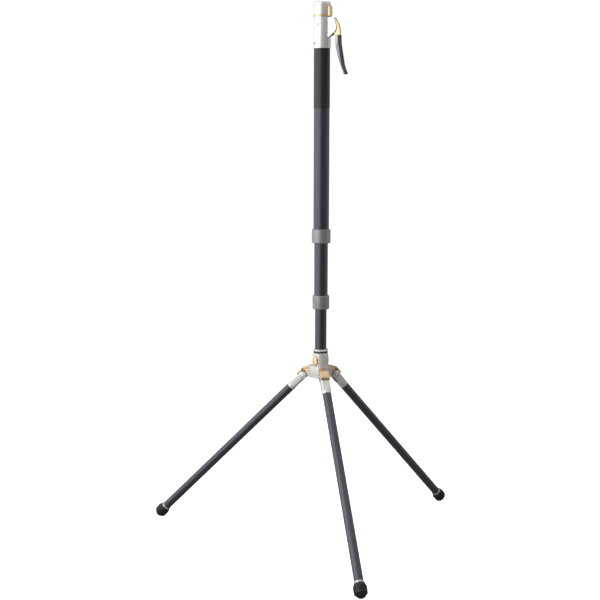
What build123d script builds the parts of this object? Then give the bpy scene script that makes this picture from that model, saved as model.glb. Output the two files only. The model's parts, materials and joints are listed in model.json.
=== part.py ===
"""Folding light stand with a trigger head, three carbon mast sections and three carbon legs.

Millimetres, +Z up. The origin is on the floor, under the middle of the stand's footprint. The
front leg points along -Y, so the mast stands a quarter of the foot radius behind the origin.
"""

import os
from math import asin, cos, degrees, radians, sin

from build123d import *

# ---------------------------------------------------------------- driving dimensions
# Legs
LEG_AZIMUTHS = {"front": -90.0, "right": 30.0, "left": 150.0}
LEG_TILT = 45.25          # leg axis from the vertical, spread
LEG_REACH = 525.5        # pivot to the middle of the foot
LEG_TUBE_D = 20.4
LEG_WALL = 2.0
PIVOT_R = 43.0           # pivot pin from the mast axis
PIN_D = 5.0
PIN_HEAD_D = 11.0
PIN_HEAD_H = 1.4
LUG_W = 8.0
LUG_R = 6.5
FORK_W = 21.0
FORK_R = 9.0             # cheek radius round the pin, and half height of the fork
FORK_EDGE = 4.0
FORK_HEAD = 26.0         # pin to the end of the square part
FORK_SLOT = 21.0         # pin to the end of the slot between the cheeks
FORK_ROOF = 0.85         # skin over the end of the slot
FORK_LENGTH = 43.0       # pin to the start of the leg tube
FORK_SPIGOT = 28.0       # bonded inside the leg tube
FORK_END_D = 21.4

# Angle stops on the forks
STOP_TRAVEL = 4.5
STOP_H = 4.4             # over the top of the fork
STOP_FRONT = 8.0         # front edge past the pin
STOP_CREST = -13.0       # where the top turns down to the hub
STOP_TAIL_RISE = 24.5    # tail tip over the pin level
STOP_TAIL_H = 7.0        # height of the tail's end face
STOP_TAIL_W = 16.0
STOP_KEEL_T = 4.5
STOP_KEEL_DEPTH = 11.0
STOP_SPRING_D = 5.0
STOP_SPRING_WIRE = 0.6

# Feet
FOOT_D = 29.0
FOOT_LENGTH = 30.0
FOOT_NECK_D = 24.6
FOOT_NECK_L = 6.0
FOOT_CONE = 7.0          # middle of the foot to the start of its cone
FOOT_ROUND = 2.0
FOOT_FLAT = 0.5          # depth of the flat that the foot stands on
FOOT_RING_D = 22.6
FOOT_RING_L = 5.0
FOOT_SEAT = 18.0         # leg tube inside the foot

# Leg block and hub
BLOCK_RISE = 24.5        # top of the block over the pivots
BLOCK_H = 27.5
BLOCK_FLAT_R = 22.0      # flats between the legs
BLOCK_FACE_R = 26.0      # faces towards the legs
BLOCK_EDGE = 3.5
BLOCK_RIM_H = 3.0        # rim that locates the hub body
BLOCK_RIM_T = 1.6
LUG_RISE = 12.5          # top of a lug over the pivots, at the block
HUB_D = 36.0
HUB_H = 30.5
HUB_WALL = 2.0
HUB_ROOF = 5.5
BASE_CAP_D = 35.0
BASE_CAP_T = 3.0
BASE_SCREW_D = 3.0
BASE_SCREW_HEAD_D = 5.4
BASE_SCREW_HEAD_H = 1.6
BASE_SCREW_L = 9.0

# Mast base plug and its release buttons
PLUG_D = 22.0
PLUG_L = 50.0
PLUG_BORE_D = 14.0
BUSH_T = 0.9
WASHER_T = 4.0
WASHER_D = 33.0
FLANGE_T = 5.0
FLANGE_D = 35.0
FLANGE_CHAMFER = 1.2
GROOVE_DEPTH = 1.8
YOKE_T = 3.0
YOKE_PLAY = 0.45         # radial, between a yoke's hole and the plug
YOKE_RIM = 2.4
YOKE_LEVELS = {"left": 6.0, "right": 13.0}       # over the top of the leg block
YOKE_CATCH = 1.5         # how far a yoke reaches under the plug's skin
BUTTON_AZIMUTHS = {"left": -150.0, "right": 30.0}
BUTTON_W = 16.0
BUTTON_H = 22.0
BUTTON_RISE = 12.4       # middle of a button over the top of the leg block
BUTTON_PROUD = 2.6
BUTTON_T = 5.9
BUTTON_TRAVEL = 2.2
BUTTON_EDGE = 1.0
BUTTON_SPRING_T = 0.4
BUTTON_SPRING_H = 4.0
BUTTON_SPRING_RISE = 18.0      # over the top of the leg block

# Mast tubes, from the hub up
TUBE_WALL = 1.5
LOWER_D = 27.0
MIDDLE_D = 31.6
UPPER_D = 36.0
LOWER_SHOWN = 95.0       # flange to the middle collar
MIDDLE_SHOWN = 122.4     # middle collar to the upper collar
UPPER_SHOWN = 410.6      # upper collar to the head
LOWER_L = 364.0
MIDDLE_L = 410.0
MIDDLE_COLLAR_D = 38.7
MIDDLE_COLLAR_H = 31.7
UPPER_COLLAR_D = 43.2
UPPER_COLLAR_H = 31.8
COLLAR_LIP = 4.0         # collar below the end of its tube
COLLAR_CHAMFER = 1.6
COLLAR_RIBS = 7
RIB_DEPTH = 0.35
GUIDE_BUSH_L = 36.0
BASE_SPIGOT_L = 25.0
GUIDE_PLUG_L = 15.0      # brake guide inside the tube that carries it
GUIDE_RIM_L = 8.0
BRAKE_L = 14.0
BRAKE_SLIT = 2.0
BRAKE_POCKET_D = 16.4
CAM_L = 11.0
CAM_LONG_D = 15.6
CAM_SHORT_D = 14.0
JOURNAL_D = 13.2
ROD_AF = 6.0             # control rod, across flats
DRIVE_AF = 10.0          # drive tube, across flats
ROD_L = 412.0
DRIVE_L = 365.0

# Grip and head
GRIP_T = 0.45
GRIP_L = 134.6
GRIP_GROOVE = 5.0        # groove below the top of the grip
HEAD_D = 39.4
HEAD_H = 69.7
RING_H = 5.0
CAP_H = 29.5
CAP_EDGE = 5.5
HEAD_PLUG_L = 36.0       # bonded inside the upper tube
HEAD_PLUG_RISE = 15.0    # into the casting
CAVITY_D = 32.8
CAVITY_H = 22.0
HEAD_SCREW_D = 5.0
HEAD_SCREW_L = 6.0
HEAD_SCREW_AF = 2.5
HEAD_SCREW_RISE = 10.5
HEAD_SCREW_AZIMUTHS = (-159.0, 21.0)
SOCKET_SCREW_D = 3.4
SOCKET_SCREW_AF = 1.8
SOCKET_SCREW_DROP = 17.0   # below the top of the casting
SOCKET_SCREW_AZIMUTH = -131.5
SPIGOT_D = 16.2          # takes a 16 mm (5/8 in) spigot
SPIGOT_DEPTH = 50.0
SOCKET_D = 21.0
SOCKET_FLOOR = 3.0
SOCKET_CHAMFER = 0.8

# Twist ring and clamping shoe
RING_D = 40.6
RING_BORE_D = 27.6
RING_OFFSET = 1.3        # eccentric bore
RING_LEAD = 70.0         # far side of the bore, ahead of the shoe
REGISTER_D = 33.0        # rim of the cap that centres the ring
REGISTER_H = 1.5
REGISTER_T = 1.7
SHOE_AZIMUTH = 139.0
SHOE_W = 8.0
SHOE_H = 2.8
TAB_W = 14.0
TAB_H = 27.0
TAB_T = 3.8
TAB_DROP = 1.5           # tab below the ring
TAB_ROOT = 1.0           # middle of the tab's swell inside its back face

# Trigger lever, in the upright plane at HEAD_AZIMUTH
HEAD_AZIMUTH = -41.0
BRACKET_W = 14.0
ARM_W = 8.0
BRACKET_WALL_R = 22.5    # floor of the slot between the bracket's cheeks
LEVER_R = 29.5           # lever pin from the mast axis
LEVER_DROP = 6.0         # lever pin below the top of the casting
LEVER_HUB_R = 4.0
LEVER_PIN_D = 4.0
LEVER_PIN_HEAD_D = 6.4
LEVER_PIN_HEAD_H = 0.8
LEVER_SWING = 14.0
NOSE_R = 33.8
NOSE_DROP = 31.5
NOSE_H = 5.0
HANDLE_W = 14.0
HANDLE_DROP = 35.5       # top of the handle below the lever pin
PAD_T = 2.0
PLUNGER_D = 7.0
PLUNGER_END = 1.5
CROSSHEAD_W = 16.7
CROSSHEAD_T = 8.3
TAIL_D = 3.6
TAIL_L = 4.0
CRANK_R = 12.0
CRANK_D = 29.0
CRANK_T = 3.0
CRANK_PIN_D = 4.0
PLUNGER_SPRING_D = 5.6
PLUNGER_SPRING_WIRE = 0.8

# Clearances
RUN = 0.05               # radial, running and sliding fits
BOND = 0.05              # radial, bonded joints
SIDE = 0.15              # each side, flat sliding faces
GAP = 0.3                # pieces that pass without touching

# ---------------------------------------------------------------- worked-out sizes and levels
TILT = radians(LEG_TILT)
FOOT_Z = FOOT_CONE * cos(TILT) + FOOT_D / 2 * sin(TILT) - FOOT_FLAT
PIVOT_Z = FOOT_Z + LEG_REACH * cos(TILT)
FOOT_R = PIVOT_R + LEG_REACH * sin(TILT)
MAST_Y = FOOT_R / 4
FOOT_TOP = LEG_REACH - FOOT_LENGTH / 2
FOOT_END = LEG_REACH + FOOT_LENGTH / 2
LEG_TUBE_BORE = LEG_TUBE_D - 2 * LEG_WALL
LEG_TUBE_END = FOOT_TOP + FOOT_SEAT
SLOT_W = LUG_W + 2 * SIDE

BLOCK_TOP = PIVOT_Z + BLOCK_RISE
BLOCK_BOTTOM = BLOCK_TOP - BLOCK_H
HUB_TOP = BLOCK_TOP + HUB_H
FLANGE_Z = HUB_TOP + WASHER_T
LOWER_Z = FLANGE_Z + FLANGE_T
MIDDLE_COLLAR_Z = LOWER_Z + LOWER_SHOWN
UPPER_COLLAR_Z = MIDDLE_COLLAR_Z + MIDDLE_COLLAR_H + MIDDLE_SHOWN
HEAD_Z = UPPER_COLLAR_Z + UPPER_COLLAR_H + UPPER_SHOWN
RING_Z = HEAD_Z + HEAD_H
CAP_Z = RING_Z + RING_H
TOP_Z = CAP_Z + CAP_H

LOWER_BORE = LOWER_D - 2 * TUBE_WALL
MIDDLE_BORE = MIDDLE_D - 2 * TUBE_WALL
UPPER_BORE = UPPER_D - 2 * TUBE_WALL
MIDDLE_Z = MIDDLE_COLLAR_Z + COLLAR_LIP
UPPER_Z = UPPER_COLLAR_Z + COLLAR_LIP
LOWER_TOP = LOWER_Z + LOWER_L
MIDDLE_TOP = MIDDLE_Z + MIDDLE_L

HUB_BORE = PLUG_D + 2 * RUN + 2 * BUSH_T
GROOVE_D = PLUG_D - 2 * GROOVE_DEPTH
YOKE_HOLE_D = PLUG_D + 2 * YOKE_PLAY
BASE_SCREW_R = (HUB_BORE + BASE_CAP_D) / 4 - 0.1
CHAMBER_R = HUB_D / 2 - HUB_WALL
YOKE_SHIFT = YOKE_HOLE_D / 2 - PLUG_D / 2 + YOKE_CATCH
BUTTON_FACE_R = HUB_D / 2 + BUTTON_PROUD
BUTTON_BACK_R = BUTTON_FACE_R - BUTTON_T
BUTTON_Z = BLOCK_TOP + BUTTON_RISE
OTHER_BUTTON = {"left": "right", "right": "left"}
YOKE_BACK_R = YOKE_HOLE_D / 2 + YOKE_RIM - YOKE_SHIFT / 2

ARM_SLOT_W = ARM_W + 2 * SIDE
LEVER_Z = RING_Z - LEVER_DROP
PLUNGER_Z = LEVER_Z - NOSE_DROP
SWING = radians(LEVER_SWING)
NOSE_LOW = NOSE_DROP + NOSE_H / 2
PLUNGER_TRAVEL = (NOSE_R - LEVER_R) * (1 - cos(SWING)) + NOSE_LOW * sin(SWING)
CRANK_START = degrees(asin(PLUNGER_TRAVEL / 2 / CRANK_R))
CAVITY_Z = HEAD_Z + HEAD_PLUG_RISE
CAVITY_TOP = CAVITY_Z + CAVITY_H
CRANK_Z = CAVITY_Z + 5 * GAP
SOCKET_Z = TOP_Z - SPIGOT_DEPTH - SOCKET_FLOOR
SHOE_Z = RING_Z + (RING_H - REGISTER_H) / 2
SHOE_SPREAD = degrees(asin(SHOE_W / RING_BORE_D))
SHOE_OUT_R = RING_BORE_D / 2 + RING_OFFSET * cos(radians(RING_LEAD + SHOE_SPREAD)) - GAP


# ---------------------------------------------------------------- planes and outlines
def level(z, azimuth=0.0):
    """Horizontal plane at height z on the mast axis, with x towards the azimuth."""
    turn = radians(azimuth)
    return Plane(origin=(0, MAST_Y, z), x_dir=(cos(turn), sin(turn), 0), z_dir=(0, 0, 1))


def mast_side(azimuth=0.0):
    """Upright plane through the mast axis: x runs out at the azimuth, y is the height."""
    turn = radians(azimuth)
    return Plane(origin=(0, MAST_Y, 0), x_dir=(cos(turn), sin(turn), 0),
                 z_dir=(sin(turn), -cos(turn), 0))


def mast_facing(azimuth, radius, z):
    """Upright plane square to the azimuth, facing outwards, with y upwards."""
    turn = radians(azimuth)
    return Plane(origin=(radius * cos(turn), MAST_Y + radius * sin(turn), z),
                 x_dir=(-sin(turn), cos(turn), 0), z_dir=(cos(turn), sin(turn), 0))


def leg_side(azimuth):
    """Upright plane of a leg: x runs down the leg from the pin, y is square to it, upwards."""
    turn = radians(azimuth)
    out = Vector(cos(turn), sin(turn), 0)
    pin = Vector(0, MAST_Y, PIVOT_Z) + out * PIVOT_R
    return Plane(origin=pin, x_dir=out * sin(TILT) - Vector(0, 0, cos(TILT)),
                 z_dir=(sin(turn), -cos(turn), 0))


def leg_across(azimuth, distance, rise=0.0):
    """Plane square to a leg, at a distance down it from the pin, facing down the leg."""
    side = leg_side(azimuth)
    return Plane(origin=side.origin + side.x_dir * distance + side.y_dir * rise,
                 x_dir=side.z_dir, z_dir=side.x_dir)


def leg_point(out, up):
    """Place in a leg's side plane of a point at a distance out from the mast axis and at a
    height over the pivot, with the leg spread."""
    away = out - PIVOT_R
    return (away * sin(TILT) - up * cos(TILT), away * cos(TILT) + up * sin(TILT))


def outline(plane, *points):
    """Closed face through the points."""
    with BuildSketch(plane) as section:
        with BuildLine():
            Polyline(*points, close=True)
        make_face()
    return section.sketch


def rectangle(plane, left, right, low, high):
    """Rectangular face between two pairs of coordinates on the plane."""
    return outline(plane, (left, low), (right, low), (right, high), (left, high))


def disc(plane, diameter, x=0.0, y=0.0):
    """Round face."""
    with BuildSketch(plane) as section:
        with Locations((x, y)):
            Circle(diameter / 2)
    return section.sketch


def hexagon(plane, across_flats):
    """Hexagonal face."""
    with BuildSketch(plane) as section:
        RegularPolygon(across_flats / 2, 6, major_radius=False)
    return section.sketch


def save(piece, name):
    """Label a finished piece and write it."""
    piece.part.label = name
    export_step(piece.part, f"parts/{name}.step")


def sleeve(outer, inner, low, high):
    """Plain tube about the mast axis."""
    with BuildPart() as pipe:
        extrude(disc(level(low), outer), amount=high - low)
        extrude(disc(level(low), inner), amount=high - low, mode=Mode.SUBTRACT)
    return pipe


def coil(plane, mean_d, wire_d, length, turns):
    """Compression spring that starts on the plane and runs along its normal."""
    rise = length - wire_d - 2 * RUN
    start = plane.offset(wire_d / 2 + RUN)
    with BuildPart() as spring:
        with BuildLine() as path:
            Helix(rise / turns, rise, mean_d / 2, center=start.origin, direction=start.z_dir)
        with BuildSketch(Plane(origin=path.wire() @ 0, z_dir=path.wire() % 0)):
            Circle(wire_d / 2)
        sweep(path=path.wire())
    return spring


# ---------------------------------------------------------------- leg block and hub
def block_outline():
    """Six-sided face of the leg block: narrow faces towards the legs, flats between them."""
    slab = 4 * BLOCK_FACE_R
    with BuildSketch(level(BLOCK_BOTTOM)) as section:
        Circle(2 * BLOCK_FACE_R)
        for azimuth in LEG_AZIMUTHS.values():
            for turn, reach in ((azimuth, BLOCK_FACE_R), (azimuth + 180, BLOCK_FLAT_R)):
                with PolarLocations(reach, 1, start_angle=turn):
                    Rectangle(slab, slab, align=(Align.MIN, Align.CENTER), mode=Mode.SUBTRACT)
    return section.sketch


def lug_outline(azimuth):
    """Side face of a lug, from inside the block to the round end at the pivot."""
    with BuildSketch(mast_side(azimuth)) as lug:
        with BuildLine():
            Polyline((HUB_BORE / 2 + 2, PIVOT_Z + LUG_RISE), (BLOCK_FACE_R, PIVOT_Z + LUG_RISE),
                     (PIVOT_R, PIVOT_Z + LUG_R), (PIVOT_R, PIVOT_Z - LUG_R),
                     (BLOCK_FACE_R, BLOCK_BOTTOM), (HUB_BORE / 2 + 2, BLOCK_BOTTOM), close=True)
        make_face()
        with Locations((PIVOT_R, PIVOT_Z)):
            Circle(LUG_R)
    return lug.sketch


def button_path(name, clearance):
    """Pill-shaped face that a release button fills, on its window's middle line."""
    with BuildSketch(mast_facing(BUTTON_AZIMUTHS[name], 0, BUTTON_Z)) as pill:
        RectangleRounded(BUTTON_W + 2 * clearance, BUTTON_H + 2 * clearance,
                         BUTTON_W / 2 - 0.2)
    return pill.sketch


def make_leg_block():
    """Casting with the three leg lugs and the lower half of the mast socket."""
    with BuildPart() as leg_block:
        extrude(block_outline(), amount=BLOCK_H)
        fillet(leg_block.edges().filter_by(Axis.Z), BLOCK_EDGE)
        chamfer(leg_block.faces().sort_by(Axis.Z)[-1].edges(), 0.8)
        chamfer(leg_block.faces().sort_by(Axis.Z)[0].edges(), 0.8)
        for azimuth in LEG_AZIMUTHS.values():
            extrude(lug_outline(azimuth), amount=LUG_W / 2, both=True)
            extrude(disc(mast_side(azimuth), PIN_D + 2 * RUN, PIVOT_R, PIVOT_Z), amount=LUG_W,
                    both=True, mode=Mode.SUBTRACT)
        rim_d = 2 * (CHAMBER_R - BOND)
        extrude(disc(level(BLOCK_TOP), rim_d), amount=BLOCK_RIM_H)
        extrude(disc(level(BLOCK_TOP), rim_d - 2 * BLOCK_RIM_T), amount=BLOCK_RIM_H,
                mode=Mode.SUBTRACT)
        for name in BUTTON_AZIMUTHS:
            extrude(button_path(name, GAP), amount=HUB_D, mode=Mode.SUBTRACT)
        extrude(disc(level(BLOCK_BOTTOM), HUB_BORE), amount=BLOCK_H, mode=Mode.SUBTRACT)
        extrude(disc(level(BLOCK_BOTTOM), BASE_CAP_D + 2 * BOND), amount=BASE_CAP_T,
                mode=Mode.SUBTRACT)
        with BuildSketch(level(BLOCK_BOTTOM)) as screw_holes:
            with PolarLocations(BASE_SCREW_R, 3, start_angle=90):
                Circle(BASE_SCREW_D / 2)
        extrude(screw_holes.sketch, amount=BASE_SCREW_L + 1, mode=Mode.SUBTRACT)
    save(leg_block, "leg_block")


def make_base_cap():
    """Disc that closes the socket from below."""
    with BuildPart() as base_cap:
        extrude(disc(level(BLOCK_BOTTOM), BASE_CAP_D), amount=BASE_CAP_T)
        with BuildSketch(level(BLOCK_BOTTOM)) as heads:
            with PolarLocations(BASE_SCREW_R, 3, start_angle=90):
                Circle(BASE_SCREW_HEAD_D / 2 + BOND)
        extrude(heads.sketch, amount=BASE_SCREW_HEAD_H, mode=Mode.SUBTRACT)
        with BuildSketch(level(BLOCK_BOTTOM)) as holes:
            with PolarLocations(BASE_SCREW_R, 3, start_angle=90):
                Circle(BASE_SCREW_D / 2)
        extrude(holes.sketch, amount=BASE_CAP_T, mode=Mode.SUBTRACT)
    save(base_cap, "hub_base_cap")


def make_base_screws():
    """Three screws that hold the base cap."""
    with BuildPart() as screws:
        for place in PolarLocations(BASE_SCREW_R, 3, start_angle=90):
            x, y = place.position.X, place.position.Y
            extrude(disc(level(BLOCK_BOTTOM), BASE_SCREW_HEAD_D, x, y), amount=BASE_SCREW_HEAD_H)
            extrude(disc(level(BLOCK_BOTTOM), BASE_SCREW_D, x, y), amount=BASE_SCREW_L)
            hex_socket = Plane(origin=(x, MAST_Y + y, BLOCK_BOTTOM))
            extrude(hexagon(hex_socket, BASE_SCREW_D * 0.65), amount=BASE_SCREW_HEAD_H * 0.7,
                    mode=Mode.SUBTRACT)
    save(screws, "hub_screws")


def make_hub_body():
    """Socket housing: a thin drum over the leg block, with two button windows."""
    with BuildPart() as hub_body:
        extrude(disc(level(BLOCK_TOP), HUB_D), amount=HUB_H)
        chamfer(hub_body.faces().sort_by(Axis.Z)[-1].edges(), 1.0)
        extrude(disc(level(BLOCK_TOP), 2 * CHAMBER_R), amount=HUB_H - HUB_ROOF,
                mode=Mode.SUBTRACT)
        extrude(disc(level(BLOCK_TOP), HUB_BORE), amount=HUB_H, mode=Mode.SUBTRACT)
        for name in BUTTON_AZIMUTHS:
            extrude(button_path(name, SIDE), amount=HUB_D, mode=Mode.SUBTRACT)
    save(hub_body, "hub_body")


def make_socket_bushes():
    """Plain bearings for the mast plug, in the block and in the roof of the hub body."""
    with BuildPart() as bushes:
        for low, height in ((BLOCK_BOTTOM + BASE_CAP_T, BLOCK_H - BASE_CAP_T),
                            (HUB_TOP - HUB_ROOF, HUB_ROOF)):
            extrude(disc(level(low), HUB_BORE), amount=height)
            extrude(disc(level(low), PLUG_D + 2 * RUN), amount=height, mode=Mode.SUBTRACT)
    save(bushes, "socket_bushes")


def make_button(name):
    """Release button: a pill with a face that follows the hub's curve, and a pocket in its
    back that clears the other button's yoke."""
    azimuth = BUTTON_AZIMUTHS[name]
    other = OTHER_BUTTON[name]
    outwards = Axis(level(0, azimuth).origin, level(0, azimuth).x_dir)
    pocket_r = YOKE_BACK_R + 2 * BUTTON_TRAVEL + GAP
    with BuildPart() as button:
        extrude(button_path(name, 0), amount=HUB_D)
        extrude(disc(level(BLOCK_BOTTOM), 2 * BUTTON_FACE_R), amount=BLOCK_H + HUB_H,
                mode=Mode.INTERSECT)
        fillet(button.faces().sort_by(outwards)[-1].edges(), BUTTON_EDGE)
        extrude(rectangle(level(BLOCK_BOTTOM, azimuth), 0, BUTTON_BACK_R, -HUB_D, HUB_D),
                amount=BLOCK_H + HUB_H, mode=Mode.SUBTRACT)
        extrude(rectangle(level(BLOCK_TOP + YOKE_LEVELS[other] - 2 * GAP, azimuth), 0, pocket_r,
                          -HUB_D, HUB_D), amount=YOKE_T + 4 * GAP, mode=Mode.SUBTRACT)
    save(button, f"release_button_{name}")


def make_yoke(name):
    """Latch ring behind a button: its far side catches the groove in the mast plug."""
    plane = level(BLOCK_TOP + YOKE_LEVELS[name], BUTTON_AZIMUTHS[name])
    with BuildPart() as yoke:
        extrude(disc(plane, YOKE_HOLE_D + 2 * YOKE_RIM, YOKE_SHIFT / 2), amount=YOKE_T)
        extrude(disc(plane, YOKE_HOLE_D, YOKE_SHIFT), amount=YOKE_T, mode=Mode.SUBTRACT)
        extrude(rectangle(plane, BUTTON_BACK_R, HUB_D, -HUB_D, HUB_D), amount=YOKE_T,
                mode=Mode.SUBTRACT)
    save(yoke, f"release_yoke_{name}")


def make_button_springs():
    """Two curved leaf springs inside the drum that push the buttons apart."""
    outer_r = CHAMBER_R - GAP
    half = BUTTON_BACK_R - SIDE
    with BuildPart() as springs:
        with BuildSketch(level(BLOCK_TOP + BUTTON_SPRING_RISE, BUTTON_AZIMUTHS["left"])) as leaves:
            Circle(outer_r)
            Circle(outer_r - BUTTON_SPRING_T, mode=Mode.SUBTRACT)
            with Locations((half, 0)):
                Rectangle(HUB_D, HUB_D, align=(Align.MIN, Align.CENTER), mode=Mode.SUBTRACT)
            with Locations((-half, 0)):
                Rectangle(HUB_D, HUB_D, align=(Align.MAX, Align.CENTER), mode=Mode.SUBTRACT)
        extrude(leaves.sketch, amount=BUTTON_SPRING_H)
    save(springs, "button_springs")


# ---------------------------------------------------------------- legs
def make_fork(name, azimuth):
    """Fork fitting: two cheeks round the lug, a body that turns round, and a tube spigot."""
    side = leg_side(azimuth)
    down_leg = Axis(side.origin, side.x_dir)
    with BuildPart() as fork:
        extrude(rectangle(side, 0, FORK_HEAD, -FORK_R, FORK_R), amount=FORK_W / 2, both=True)
        fillet(fork.edges().filter_by(down_leg), FORK_EDGE)
        extrude(disc(side, 2 * FORK_R), amount=FORK_W / 2, both=True)
        with BuildSketch(leg_across(azimuth, FORK_HEAD)):
            RectangleRounded(FORK_W, 2 * FORK_R, FORK_EDGE)
        with BuildSketch(leg_across(azimuth, FORK_LENGTH)):
            Circle(FORK_END_D / 2)
        loft()
        extrude(disc(leg_across(azimuth, FORK_LENGTH), LEG_TUBE_BORE - 2 * BOND),
                amount=FORK_SPIGOT)
        extrude(rectangle(side, -2 * FORK_R, FORK_SLOT, -2 * FORK_R, FORK_R - FORK_ROOF),
                amount=SLOT_W / 2, both=True, mode=Mode.SUBTRACT)
        extrude(rectangle(side, -2 * FORK_R, STOP_FRONT, 0, 2 * FORK_R),
                amount=SLOT_W / 2, both=True, mode=Mode.SUBTRACT)
        extrude(disc(side, PIN_D), amount=FORK_W, both=True, mode=Mode.SUBTRACT)
    save(fork, f"leg_fork_{name}")


def make_leg_pin(name, azimuth):
    """Pivot pin with a round head on each side of the fork."""
    side = leg_side(azimuth)
    with BuildPart() as pin:
        extrude(disc(side, PIN_D), amount=FORK_W / 2, both=True)
        for way in (1, -1):
            head = side.offset(way * FORK_W / 2)
            extrude(disc(head, PIN_HEAD_D), amount=way * PIN_HEAD_H)
        chamfer(pin.edges().filter_by(GeomType.CIRCLE).group_by(SortBy.RADIUS)[-1],
                PIN_HEAD_H / 3)
    save(pin, f"leg_pin_{name}")


def make_stop(name, azimuth):
    """Angle stop: slides on the fork, and its tail meets the block when the leg is spread."""
    side = leg_side(azimuth)
    seat = FORK_R + SIDE
    crest = FORK_R + STOP_H
    front = STOP_FRONT - 3 * SIDE
    tip = BLOCK_FACE_R + GAP
    web = LUG_R + GAP
    roof = FORK_R - FORK_ROOF - SIDE
    keel = STOP_FRONT + 1
    with BuildPart() as stop:
        extrude(outline(side, (front, seat), (front, crest - 2), (front - 2, crest),
                        (STOP_CREST, crest), leg_point(tip, STOP_TAIL_RISE),
                        leg_point(tip, STOP_TAIL_RISE - STOP_TAIL_H), (STOP_CREST - 1.6, 6.6),
                        (STOP_CREST + 1, seat)),
                amount=FORK_W / 2, both=True)
        waist = (FORK_W - STOP_TAIL_W) / 2
        top = Plane(origin=side.origin, x_dir=side.x_dir, z_dir=side.y_dir)
        for way in (1, -1):
            edge = way * FORK_W / 2
            extrude(outline(top, (STOP_CREST + 2, edge), (STOP_CREST - 3, edge - way * waist),
                            (-4 * FORK_R, edge - way * waist), (-4 * FORK_R, 2 * edge),
                            (STOP_CREST + 2, 2 * edge)),
                    amount=4 * FORK_R, both=True, mode=Mode.SUBTRACT)
        up = Axis(side.origin, side.y_dir)
        chamfer(stop.faces().filter_by(up).sort_by(up)[-1].edges(), 0.8)
        extrude(rectangle(side, STOP_FRONT / -2, front - STOP_TRAVEL - SIDE, web, seat + 1),
                amount=LUG_W / 2 - SIDE, both=True)
        extrude(rectangle(side, STOP_FRONT / -2, keel + STOP_KEEL_T, web, roof),
                amount=LUG_W / 2 - SIDE, both=True)
        extrude(rectangle(side, keel, keel + STOP_KEEL_T, roof - STOP_KEEL_DEPTH, roof),
                amount=LUG_W / 2 - SIDE, both=True)
    save(stop, f"leg_stop_{name}")


def make_stop_spring(name, azimuth):
    """Spring between a stop's keel and the end of the fork's slot."""
    start = STOP_FRONT + 1 + STOP_KEEL_T
    rise = FORK_R - FORK_ROOF - STOP_KEEL_DEPTH / 2
    spring = coil(leg_across(azimuth, start, rise), STOP_SPRING_D, STOP_SPRING_WIRE,
                  FORK_SLOT - start, 4)
    save(spring, f"stop_spring_{name}")


def make_leg_tube(name, azimuth):
    """Carbon leg tube."""
    start = leg_across(azimuth, FORK_LENGTH)
    with BuildPart() as leg_tube:
        extrude(disc(start, LEG_TUBE_D), amount=LEG_TUBE_END - FORK_LENGTH)
        extrude(disc(start, LEG_TUBE_BORE), amount=LEG_TUBE_END - FORK_LENGTH,
                mode=Mode.SUBTRACT)
    save(leg_tube, f"leg_tube_{name}")


def make_foot_ring(name, azimuth):
    """Metal ring above the foot."""
    start = leg_across(azimuth, FOOT_TOP - FOOT_RING_L)
    with BuildPart() as ring:
        extrude(disc(start, FOOT_RING_D), amount=FOOT_RING_L)
        chamfer(ring.edges().filter_by(GeomType.CIRCLE), 0.6)
        extrude(disc(start, LEG_TUBE_D + 2 * BOND), amount=FOOT_RING_L, mode=Mode.SUBTRACT)
    save(ring, f"foot_ring_{name}")


def make_foot(name, azimuth):
    """Rubber foot: a barrel whose lower cone lies along the floor when the leg is spread."""
    side = leg_side(azimuth)
    half = FOOT_D / 2
    seat = LEG_TUBE_D / 2 + BOND
    cone_start = LEG_REACH + FOOT_CONE
    cone_drop = (FOOT_END - cone_start) * cos(TILT) / sin(TILT)
    with BuildPart() as foot:
        profile = outline(side, (FOOT_TOP, 0), (FOOT_TOP, FOOT_NECK_D / 2),
                          (FOOT_TOP + FOOT_NECK_L, half), (cone_start, half),
                          (FOOT_END, half - cone_drop), (FOOT_END, 0))
        revolve(profile, axis=Axis(side.origin, side.x_dir))
        fillet(foot.edges().filter_by(GeomType.CIRCLE), FOOT_ROUND)
        extrude(disc(leg_across(azimuth, FOOT_TOP), 2 * seat), amount=FOOT_SEAT,
                mode=Mode.SUBTRACT)
        turn = radians(azimuth)
        under = Plane(origin=(FOOT_R * cos(turn), MAST_Y + FOOT_R * sin(turn), 0))
        with BuildSketch(under) as floor:
            Rectangle(3 * FOOT_D, 3 * FOOT_D)
        extrude(floor.sketch, amount=-FOOT_D, mode=Mode.SUBTRACT)
    save(foot, f"foot_{name}")


# ---------------------------------------------------------------- mast base and tubes
def make_mast_base():
    """Plug that stands in the socket, with two latch grooves, a flange and a tube spigot."""
    bottom = FLANGE_Z - PLUG_L
    with BuildPart() as base:
        extrude(disc(level(bottom), PLUG_D), amount=PLUG_L)
        chamfer(base.faces().sort_by(Axis.Z)[0].edges(), 1.5)
        for rise in YOKE_LEVELS.values():
            groove = level(BLOCK_TOP + rise - 2 * GAP)
            height = YOKE_T + 4 * GAP
            extrude(disc(groove, PLUG_D + 1), amount=height, mode=Mode.SUBTRACT)
            extrude(disc(groove, GROOVE_D), amount=height)
        extrude(disc(level(FLANGE_Z), FLANGE_D), amount=FLANGE_T)
        rim = base.edges().filter_by(GeomType.CIRCLE).group_by(SortBy.RADIUS)[-1]
        chamfer(rim, FLANGE_CHAMFER)
        extrude(disc(level(LOWER_Z), LOWER_BORE - 2 * BOND), amount=BASE_SPIGOT_L)
        extrude(disc(level(bottom), PLUG_BORE_D), amount=PLUG_L + FLANGE_T + BASE_SPIGOT_L,
                mode=Mode.SUBTRACT)
    save(base, "mast_base")


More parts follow.
